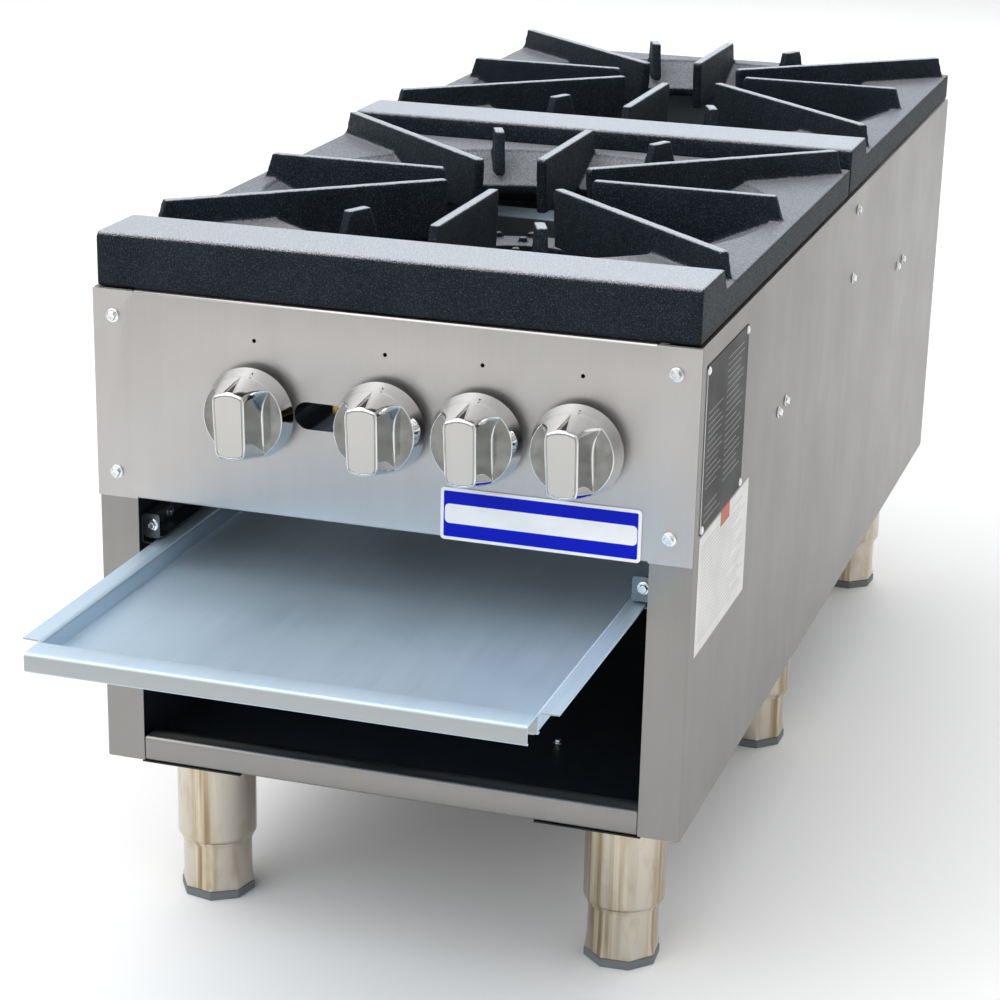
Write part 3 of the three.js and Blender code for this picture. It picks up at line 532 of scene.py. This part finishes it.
# Strips behind the rail's ends close the view through its joints.
rail_low, rail_high = (CABINET.inverted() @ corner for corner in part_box("bottom_front_rail"))
SEAM_BACK, SEAM_THICKNESS = 1.4, 0.6  # behind the rail's face
SEAM_INWARD, SEAM_OUTWARD = 4, 1.5  # from the rail's end
SEAM_MARGIN = 1.6  # below the rail's top and above its bottom
for hand, end, outward in (("left", rail_low.x, -1), ("right", rail_high.x, 1)):
    ends = sorted((end - outward * SEAM_INWARD, end + outward * SEAM_OUTWARD))
    outline = rounded(*ends, rail_low.z + SEAM_MARGIN, rail_high.z - SEAM_MARGIN, 0.5)
    seam = prism(outline, "y", rail_low.y + SEAM_BACK, rail_low.y + SEAM_BACK + SEAM_THICKNESS)
    piece(f"seam_strip_{hand}", seam, SHADED_SIDE_STEEL, "cabinet")

WASHER = [(0, 0.2), (5.2, 0.2), (5.6, 0.5), (5.6, 1.0), (5.1, 1.3), (3.6, 1.45), (0, 1.45)]
HEAD_SIDES = 48
# The head's rings from its foot to its dished top: height, radius, and how hexagonal they are from 1 to 0.
HEAD_RINGS = ((1.3, 4.1, 1), (3.6, 4.1, 1), (4.3, 3.6, 0.5), (4.5, 3.0, 0), (4.35, 2.2, 0), (4.3, 0.0, 0))
HEX_FLAT = 0.866  # a hexagon's reach at the middle of a side, as a share of its reach at a corner
HEX_ROUND = 0.93  # the reach of a round ring, as a share of the same


def hex_screw(name, at, facing, size=1.0, replaced=()):
    """A hexagon washer-head sheet screw with its face towards -y, +x, -x or +z."""
    washer = turned(WASHER, sides=40)
    head = bmesh.new()
    rings = []
    for height, radius, share in HEAD_RINGS:
        ring = []
        for angle in around(HEAD_SIDES if radius else 1, HEAD_SIDES):
            flat = HEX_FLAT / math.cos((angle % (math.pi / 3)) - math.pi / 6)
            reach = radius * (share * flat + (1 - share) * HEX_ROUND)
            ring.append(head.verts.new((*polar(angle, reach), height)))
        rings.append(ring)
    join_rings(head, rings, HEAD_SIDES)
    shape = merged(washer, head)
    turn = {
        "-y": Matrix.Rotation(math.radians(90), 4, "X"),
        "+x": Matrix.Rotation(math.radians(90), 4, "Y"),
        "-x": Matrix.Rotation(math.radians(-90), 4, "Y"),
        "+z": Matrix.Identity(4),
    }[facing]
    shape.transform(Matrix.Translation(at) @ turn @ Matrix.Scale(size, 4))
    soften(piece(name, shape, ZINC, "cabinet", replaced), 0, smooth=35)


for number, (x, z) in enumerate(PANEL_SCREW_SPOTS, 1):
    hex_screw(f"panel_screw_{number}_head", (x, 0, z), "-y", size=0.92, replaced=[f"panel_screw_{number}"])
for number, (y, z) in enumerate(SIDE_SCREW_SPOTS, 1):
    for side, facing in ((-1, "-x"), (1, "+x")):
        name = f"side_screw_{'left' if side < 0 else 'right'}_{number}"
        hex_screw(name, (side * HALF, y, z), facing, size=0.82)

# The front ends of the tray slides: a flange across the front, and a lip with a round corner above the rim.
SLIDE_OUTER = 201
SLIDE_SKIN = 201.7  # where the slide's side screw sits
FLANGE_FRONT, FLANGE_BACK = 18, 19.2
FLANGE_LOW, FLANGE_HIGH = 177, 196
LIP_FRONT, LIP_BACK = 19.6, 400
LIP_LOW, LIP_HIGH = 176.4, 177.6
LIP_CORNER, LIP_STEPS = 8, 8
for side, facing, inner in ((-1, "+x", 187), (1, "-x", 180)):
    hand = "left" if side < 0 else "right"
    ends = sorted((side * SLIDE_OUTER, side * (inner + 1)))
    flange = prism(rounded(*ends, FLANGE_LOW, FLANGE_HIGH, 2.5), "y", FLANGE_FRONT, FLANGE_BACK)
    soften(piece(f"slide_flange_{hand}", flange, SLIDE_STEEL, "cabinet"), 0.3, 2)
    hex_screw(f"slide_screw_{hand}_1", (side * (inner + 200) / 2, FLANGE_FRONT, 187.8), "-y", size=0.85)
    hex_screw(f"slide_screw_{hand}_2", (side * SLIDE_SKIN, 64, 183), facing, size=0.9)
    outline = [(side * SLIDE_OUTER, LIP_BACK), (side * SLIDE_OUTER, LIP_FRONT), (side * 197, LIP_FRONT)]
    for i in range(LIP_STEPS + 1):
        angle = math.pi / 2 * i / LIP_STEPS
        x = side * (inner + LIP_CORNER - LIP_CORNER * math.sin(angle))
        outline.append((x, LIP_FRONT + LIP_CORNER - LIP_CORNER * math.cos(angle)))
    outline.append((side * inner, LIP_BACK))
    lip = prism(outline if side < 0 else outline[::-1], "z", LIP_LOW, LIP_HIGH)
    soften(piece(f"slide_lip_{hand}", lip, SLIDE_STEEL, "cabinet"), 0.3, 2)
hex_screw("floor_screw", (95.5, 140, 2.7), "+z", size=0.8)

# ---------- badge, rating plate and sticker ----------

FACE = -1.1  # the badge's front
BORDER = 2.5
BAND_LOW, BAND_HIGH = 225.6, 240.2
left, right, low, high = BADGE.values()
shape = prism(rounded(left, right, low, high, 3), "y", FACE, -0.2)
soften(piece("badge_body", shape, WHITE, "cabinet", ["badge_plate"]), 0.25)
outline = rounded(left + BORDER, right - BORDER, low + BORDER, high - BORDER, 1.2)
piece("badge_field", prism(outline, "y", FACE - 0.05, FACE + 0.1), BLUE, "cabinet")
outline = rounded(left + 3.4, right - 3, BAND_LOW, BAND_HIGH, 3.4)
piece("badge_band", prism(outline, "y", FACE - 0.1, FACE + 0.05), WHITE, "cabinet")

SKIN = HALF + 0.3  # the inner face of what lies on the right side panel
PLATE_THICKNESS = 0.5
front, back, low, high = RATING_PLATE.values()
shape = prism(rounded(front, back, low, high, 2), "x", SKIN, SKIN + PLATE_THICKNESS)
soften(piece("rating_plate_body", shape, PLATE, "cabinet", ["rating_plate"]), 0.15)
shape = prism(rounded(front, front + 0.9, low + 2, high - 2, 0.3), "x", SKIN, SKIN + PLATE_THICKNESS + 0.06)
piece("rating_plate_edge", shape, WHITE, "cabinet")


def ruled_lines(name, material, slot, at_x, front, back, low, high, lines, thickness, phase):
    """Rows of plain dashes of uneven length, in place of small print."""
    shape = bmesh.new()
    pitch = (high - low) / lines
    for line in range(lines):
        z = high - (line + 0.5) * pitch
        length = (back - front) * (0.62 + 0.36 * abs(math.sin(phase + 2.3 * line)))
        corners = [(front, z - thickness / 2), (front + length, z - thickness / 2)]
        corners += [(front + length, z + thickness / 2), (front, z + thickness / 2)]
        shape.faces.new([shape.verts.new((at_x, y, height)) for y, height in corners])
    piece(name, shape, material, "cabinet")


RATING_LINES = {
    "left": (25, 72, 262, 322, 13, 0.7, 1.0),
    "right": (80, 134, 252, 348, 20, 0.7, 2.2),
    "low": (25, 76, 237, 252, 3, 0.7, 0.4),
}
for place, block in RATING_LINES.items():
    ruled_lines(f"rating_lines_{place}", PALE_INK, "rating_plate", SKIN + PLATE_THICKNESS + 0.03, *block)
shape = prism(rounded(*STICKER.values(), 1), "x", SKIN - 0.25, SKIN - 0.05)
piece("sticker", shape, PAPER, "cabinet")
ruled_lines("sticker_lines", GREY_INK, "badge", SKIN - 0.03, 26, 168, 146, 222, 24, 0.55, 0.9)
shape = prism(rounded(84, 112, 217.5, 230, 0.8), "x", SKIN - 0.2, SKIN + 0.02)
piece("sticker_patch", shape, ORANGE, "cabinet")

RIVET = [(0, 0), (3.1, 0), (3.0, 0.5), (2.3, 1.1), (1.2, 1.45), (0, 1.55)]
for index, (y, z) in enumerate(RIVET_SPOTS, 1):
    shape = turned(RIVET, "x", (SKIN + 0.45, y, z), 24)
    soften(piece(f"rating_rivet_{index}", shape, WHITE, "cabinet"), 0)

# ---------- legs ----------

TUBE_TOP, TUBE_BOTTOM = -2.3, -91
TUBE_OUTER, TUBE_INNER = 31.5, 30.2
NECK_OUTER, NECK_INNER = 28.9, 28.1
SHOULDER_TOP, SHOULDER_HEIGHT, SHOULDER_STEPS = -84.5, 5.5, 8


def leg_tube():
    """The profile of a leg's tube, which narrows to a neck at its lower end."""
    profile = [(TUBE_INNER, TUBE_TOP), (TUBE_OUTER, TUBE_TOP), (TUBE_OUTER, SHOULDER_TOP)]
    for i in range(1, SHOULDER_STEPS + 1):
        narrowed = (TUBE_OUTER - NECK_OUTER) * (1 - math.cos(math.pi * i / SHOULDER_STEPS)) / 2
        profile.append((TUBE_OUTER - narrowed, SHOULDER_TOP - SHOULDER_HEIGHT * i / SHOULDER_STEPS))
    profile += [(NECK_OUTER, TUBE_BOTTOM + 0.5), (NECK_OUTER - 0.4, TUBE_BOTTOM)]
    return profile + [(NECK_INNER, TUBE_BOTTOM), (NECK_INNER, TUBE_BOTTOM + 3), (TUBE_INNER, -82)]


FOOT_TOP, FLARE_TOP, FOOT_BOTTOM = -2.6, -112, -130.5
FOOT_BORE, FOOT_RADIUS, FOOT_CORNER = 25, 27.5, 29.7
FOOT_EDGE = 0.4  # the soft edge at the sleeve's bottom
FOOT_SIDES, FLARE_STEPS = 128, 16
PAD_SIDES = 64


def octagon_reach(angle):
    """The share of its corner radius that an octagon reaches in a direction."""
    return math.cos(math.pi / 8) / math.cos(angle % (math.pi / 4) - math.pi / 8)


def foot():
    """The sleeve, round at the top and drawn out to an octagon at its lower edge."""
    shape = bmesh.new()
    rings = []
    # Height and radius of each ring. The flare's rings have no radius of their own.
    levels = [(FOOT_TOP, FOOT_BORE), (FOOT_TOP, FOOT_RADIUS), (FLARE_TOP, FOOT_RADIUS)]
    for i in range(1, FLARE_STEPS + 1):
        levels.append((FLARE_TOP + (FOOT_BOTTOM + FOOT_EDGE - FLARE_TOP) * i / FLARE_STEPS, None))
    levels += [(FOOT_BOTTOM, None), (FOOT_BOTTOM, 0)]
    for z, radius in levels:
        ring = []
        for angle in around(FOOT_SIDES if radius != 0 else 1, FOOT_SIDES):
            reach = radius
            if radius is None:
                share = min((FLARE_TOP - z) / (FLARE_TOP - FOOT_BOTTOM - FOOT_EDGE), 1)
                eased = share**1.7
                reach = FOOT_RADIUS * (1 - eased) + FOOT_CORNER * octagon_reach(angle) * eased
                reach -= FOOT_EDGE if z == FOOT_BOTTOM else 0
            ring.append(shape.verts.new((*polar(angle, reach), z)))
        rings.append(ring)
    join_rings(shape, rings, FOOT_SIDES)
    inner = [shape.verts.new((*polar(angle, FOOT_BORE), -12)) for angle in around(FOOT_SIDES)]
    join_rings(shape, [rings[0], inner], FOOT_SIDES)
    shape.faces.new(inner)
    return shape


def foot_pad():
    """The octagonal pad under a sleeve, with soft edges."""
    shape = bmesh.new()
    rings = []
    edge = FOOT_CORNER + 0.4
    top, bottom = -130.8, -LEG_HEIGHT
    levels = [(top, 0), (top, edge - 0.8), (-131.4, edge)]
    levels += [(-137.2, edge), (bottom, edge - 0.9), (bottom, 0)]
    for z, radius in levels:
        ring = []
        for angle in around(PAD_SIDES if radius else 1, PAD_SIDES):
            reach = radius * octagon_reach(angle)
            ring.append(shape.verts.new((*polar(angle, reach), z)))
        rings.append(ring)
    join_rings(shape, rings, PAD_SIDES)
    return shape


for place, turn in FOOT_TURNS.items():
    row, side = place.split("_")
    x = -LEG_X if side == "left" else LEG_X
    tube, sleeve, pad = turned(leg_tube(), sides=FOOT_SIDES, closed=True), foot(), foot_pad()
    for shape in (sleeve, pad):
        shape.transform(Matrix.Rotation(math.radians(turn), 4, "Z"))
    for shape in (tube, sleeve, pad):
        shape.transform(Matrix.Translation((x, LEG_ROWS[row], 0)))
    body = f"{place}_adjuster"
    soften(piece(f"{place}_tube", tube, TUBE, "cabinet", [f"{place}_leg_tube"]), 0, smooth=50)
    soften(piece(f"{place}_sleeve", sleeve, TUBE, body, [f"{place}_foot"]), 0, smooth=50)
    soften(piece(f"{place}_pad", pad, PAD, body, [f"{place}_foot_pad"]), 0, smooth=30)

# ---------- knobs ----------


def smooth_min(first, second, width):
    """The smaller of two lengths, eased over width where they are about equal."""
    share = max(width - abs(first - second), 0) / width
    return min(first, second) - share * share * width / 4


def cone_radius(y):
    """The radius of the uncut cone at a depth."""
    share = (y - KNOB_FACE) / (KNOB_BACK - KNOB_FACE)
    return KNOB_FACE_RADIUS + (KNOB_BASE_RADIUS - KNOB_FACE_RADIUS) * share


def grip_half(share, z):
    """The grip's half width at a share of the way from face to shelf. Its root flares at the top."""
    widening = GRIP_FLARE * (z / FLARE_REACH) ** 2.6 if z > 0 else GRIP_BULGE * (z / BULGE_REACH) ** 2
    root = GRIP_ROOT + widening
    at_face = GRIP_HALF + GRIP_TAPER * z
    return at_face + (root - at_face) * share**2.3


def grip_reach(angle, y, inset=0.0):
    """How far the body reaches from the axis in a direction, at a depth between the face and the shelf."""
    limit = cone_radius(y) - inset
    share = min(max((y - KNOB_FACE) / (KNOB_SHELF - KNOB_FACE), 0), 1)
    across, up = abs(math.cos(angle)), math.sin(angle)
    near, far = 0.0, limit + 8
    if far * across < grip_half(share, far * up) - inset:
        return limit
    for _ in range(24):
        middle = (near + far) / 2
        if middle * across < grip_half(share, middle * up) - inset:
            near = middle
        else:
            far = middle
    return smooth_min(far, limit, max(5.5 - 4 * share - inset, 1.5))


def pointer_depth(angle, y):
    """The arrow let into the top of the cone: its depth at a place, with a low rim round it."""
    along = (y - KNOB_FACE - POINTER_START) / POINTER_LENGTH
    half = POINTER_HALF * (1 - along)
    x = abs(cone_radius(y) * math.cos(angle))
    inside = min((half - x) * 0.98, along * POINTER_LENGTH) if math.sin(angle) > 0 else -9
    if inside > 0:
        return POINTER_DEPTH * min(inside / 0.9, 1)
    return -POINTER_RIM * max(0, 1 - abs(inside + 0.5) / 0.5)


def knob():
    """A cone cut back on both sides to a grip, drawn as rings of points from its face to its back."""
    fine = [math.radians(90 + 8 * (i / 22 - 1)) for i in range(45)]  # closer together at the arrow
    angles = sorted([a for a in around(300) if abs(math.degrees(a) - 90) > 8.2] + fine)
    # the recess in the face
    rings = [[(0.0, KNOB_FACE + 0.45)] * len(angles)]
    for inset, y in ((1.9, 0.45), (1.75, 0.1), (1.6, 0)):
        rings.append([(grip_reach(a, KNOB_FACE, inset), KNOB_FACE + y) for a in angles])
    # the grip's round edge
    steps = 6
    for i in range(steps):
        turn = math.pi / 2 * i / steps
        y = KNOB_FACE + GRIP_EDGE * (1 - math.cos(turn))
        rings.append([(grip_reach(a, y, GRIP_EDGE * (1 - math.sin(turn))), y) for a in angles])
    # the grip and the arrow, down to the shelf
    steps = 44
    start = KNOB_FACE + GRIP_EDGE
    for i in range(steps + 1):
        y = start + (KNOB_SHELF - RIM_EDGE - KNOB_FACE - GRIP_EDGE) * i / steps
        rings.append([(grip_reach(a, y) - pointer_depth(a, y), y) for a in angles])
    # the shelf on both sides of the grip
    root = [grip_reach(a, KNOB_SHELF) for a in angles]
    rim = cone_radius(KNOB_SHELF)
    for share, y in ((0.02, 0.25), (0.06, 0.05), (0.15, 0), (0.5, 0), (0.85, 0)):
        out = [min(r + max(rim - RIM_EDGE - r, 0) * share, rim) for r in root]
        rings.append([(reach, KNOB_SHELF - y) for reach in out])
    # the shelf's round rim
    steps = 5
    for i in range(steps + 1):
        turn = math.pi / 2 * i / steps
        y = KNOB_SHELF + RIM_EDGE * (1 - math.cos(turn))
        reach = rim - RIM_EDGE + RIM_EDGE * math.sin(turn)
        rings.append([(max(reach, min(r, rim)), y) for r in root])
    # the cone behind it
    start = KNOB_SHELF + RIM_EDGE
    for i in range(1, steps + 1):
        y = start + (KNOB_BACK - RIM_EDGE - KNOB_SHELF - RIM_EDGE) * i / steps
        rings.append([(cone_radius(y), y)] * len(angles))
    # the back's round rim, and the back
    steps = 4
    for i in range(1, steps + 1):
        turn = math.pi / 2 * i / steps
        reach = KNOB_BASE_RADIUS - RIM_EDGE * (1 - math.cos(turn))
        rings.append([(reach, KNOB_BACK - RIM_EDGE * (1 - math.sin(turn)))] * len(angles))
    rings.append([(9.0, KNOB_BACK)] * len(angles))
    rings.append([(0.0, KNOB_BACK)] * len(angles))
    shape = bmesh.new()
    made = []
    for ring in rings:
        count = 1 if ring[0][0] == 0 else len(angles)
        points = zip(angles[:count], ring)
        made.append([shape.verts.new((r * math.cos(a), y, r * math.sin(a))) for a, (r, y) in points])
    join_rings(shape, made, len(angles))
    bmesh.ops.remove_doubles(shape, verts=shape.verts, dist=0.004)
    return shape


def knob_plate():
    """The satin plate let into the grip's face, with an even gap round it."""
    outline = []
    for angle in around(160):
        outline.append(polar(angle, grip_reach(angle, KNOB_FACE, 2.15)))
    shape = prism(outline, "y", KNOB_FACE + 0.05, KNOB_FACE + 0.5)
    return shape


def knob_arrow_shade():
    """A dark sheet sunk below the cone's skin in the arrow's recess, as painted shade."""
    shape = bmesh.new()
    rows = []
    steps = 13
    for i in range(steps):
        along = i / steps
        y = KNOB_FACE + 2.6 + (POINTER_LENGTH - 0.6) * along
        half = max(POINTER_HALF * (1 - along) - 0.45, 0.05)
        radius = cone_radius(y) - 1.1
        row = [half * share for share in (-1, -0.5, 0, 0.5, 1)]
        rows.append([shape.verts.new((x, y, math.sqrt(radius * radius - x * x))) for x in row])
    for near, far in zip(rows, rows[1:]):
        for i in range(4):
            shape.faces.new([near[i], near[i + 1], far[i + 1], far[i]])
    return shape


for number, x in enumerate(KNOB_PLACES, 1):
    body, plate, arrow_shade = knob(), knob_plate(), knob_arrow_shade()
    for shape in (body, plate, arrow_shade):
        shape.transform(Matrix.Rotation(math.radians(-KNOB_TURN), 4, "Y"))
        shape.transform(Matrix.Translation((x, 0, KNOB_AXIS)))
    control = f"control_{number}"
    soften(piece(f"knob_{number}_body", body, CHROME, control, [f"knob_{number}"]), 0, smooth=48)
    soften(piece(f"knob_{number}_plate", plate, SATIN, control), 0.2, 3)
    # Painted shade: a black sheet lies in each arrow's recess.
    piece(f"knob_{number}_pointer", arrow_shade, BLACK, control)

# ---------- castings ----------

GRATE_PITCH = BODY_DEPTH / 2
front_casting = cast(solid_copy("front_grate"), voxel=1.6, keep=0.2)
rear_casting = front_casting.copy()
rear_casting.transform(Matrix.Translation((0, GRATE_PITCH / PER_METRE, 0)))
piece("front_grate_casting", front_casting, IRON, "front_grate_body", ["front_grate"], True)
piece("rear_grate_casting", rear_casting, IRON, "rear_grate_body", ["rear_grate"], True)
for place in ("front", "rear"):
    for kind in ("ring", "head"):
        node = f"{place}_{kind}_burner"
        casting = cast(solid_copy(node), voxel=1.2, keep=0.25)
        piece(f"{node}_casting", casting, IRON, "cabinet", [node], True)

# ---------- floor, light and camera, in metres ----------

floor_shape = bmesh.new()
SPREAD, NEAR_END, RISE = 40.0, -14.0, 6.0
COVE_START, COVE_RADIUS, COVE_STEPS = 5.0, 2.5, 12  # where the floor curves up into the backdrop
profile = [(NEAR_END, 0.0), (COVE_START, 0.0)]
for i in range(1, COVE_STEPS + 1):
    angle = math.pi / 2 * i / COVE_STEPS
    across, up = math.sin(angle), 1 - math.cos(angle)
    profile.append((COVE_START + COVE_RADIUS * across, COVE_RADIUS * up))
profile.append((COVE_START + COVE_RADIUS, RISE))
rows = [[floor_shape.verts.new((x, y, z)) for x in (-SPREAD, SPREAD)] for y, z in profile]
for low, high in zip(rows, rows[1:]):
    floor_shape.faces.new([low[0], low[1], high[1], high[0]])
floor_mesh = bpy.data.meshes.new("floor")
floor_shape.to_mesh(floor_mesh)
floor = bpy.data.objects.new("floor", floor_mesh)
scene.collection.objects.link(floor)
floor_mesh.shade_smooth()
FLOOR = Surface("floor", (0.93, 0.93, 0.93), 0.9)
white = FLOOR.tint(FLOOR.noise(1.5), (0.92, 0.92, 0.92), (0.94, 0.94, 0.94))
depth = FLOOR.node("ShaderNodeSeparateXYZ", {0: FLOOR.place}).outputs["Y"]
greyer = FLOOR.between(depth, 0, 1, -1.15, -2.3)  # towards the camera's side
FLOOR.drive("Base Color", FLOOR.blend(greyer, white, (0.72, 0.72, 0.7, 1)))
floor_mesh.materials.append(FLOOR.material)


def softbox(name, at, towards, width, height, watts, color=(1, 1, 1)):
    """A rectangular lamp that the camera doesn't see."""
    light = bpy.data.lights.new(name, "AREA")
    light.shape = "RECTANGLE"
    light.size, light.size_y = width, height
    light.energy = watts
    light.color = color
    made = bpy.data.objects.new(name, light)
    scene.collection.objects.link(made)
    made.location = at
    made.rotation_euler = (Vector(towards) - Vector(at)).to_track_quat("-Z", "Y").to_euler()
    made.visible_camera = False


softbox("overhead", (-1.2, -0.9, 2.8), (0, 0, 0.3), 2.0, 2.0, 26)
softbox("front_fill", (-1.5, -3.5, 2.2), (0, 0, 0.3), 4.0, 2.5, 50)
softbox("back_window", (0.4, 4.0, 2.6), (0, 0, 0.5), 4.5, 1.6, 60, (0.95, 0.98, 1))

# The studio is white behind the object and overhead, and dims towards the camera's side.
world = bpy.data.worlds.new("studio")
scene.world = world
world.use_nodes = True
tree = world.node_tree
background = tree.nodes["Background"]
direction = tree.nodes.new("ShaderNodeTexCoord").outputs["Generated"]
parts = tree.nodes.new("ShaderNodeSeparateXYZ")
tree.links.new(direction, parts.inputs[0])


def ramp(value, start, end):
    """0 below start, 1 above end, and eased between."""
    made = tree.nodes.new("ShaderNodeMapRange")
    made.interpolation_type = "SMOOTHSTEP"
    made.inputs["From Min"].default_value = start
    made.inputs["From Max"].default_value = end
    tree.links.new(value, made.inputs["Value"])
    return made.outputs["Result"]


WHITE_LIGHT = (1, 1, 1, 1)
near_side = mixed(tree, ramp(parts.outputs["Z"], 0.15, 0.8), (0.55, 0.555, 0.56, 1), WHITE_LIGHT)
sky = mixed(tree, ramp(parts.outputs["Y"], -0.75, 0.15), near_side, WHITE_LIGHT)
tree.links.new(sky, background.inputs["Color"])

# The camera is solved from the cabinet's straight edges in the photograph.
camera_data = bpy.data.cameras.new("camera")
camera_data.sensor_width = 36
camera_data.lens = 97.095
camera_data.shift_x = 0.01097
camera_data.shift_y = 0.11198
camera = bpy.data.objects.new("camera", camera_data)
scene.collection.objects.link(camera)
camera.location = CABINET @ Vector((631.0046, -1742.407, 850.5804))
camera.rotation_euler = (1.2098305, -0.0207154, 0.314075)
scene.camera = camera
scene.view_settings.view_transform = "Standard"
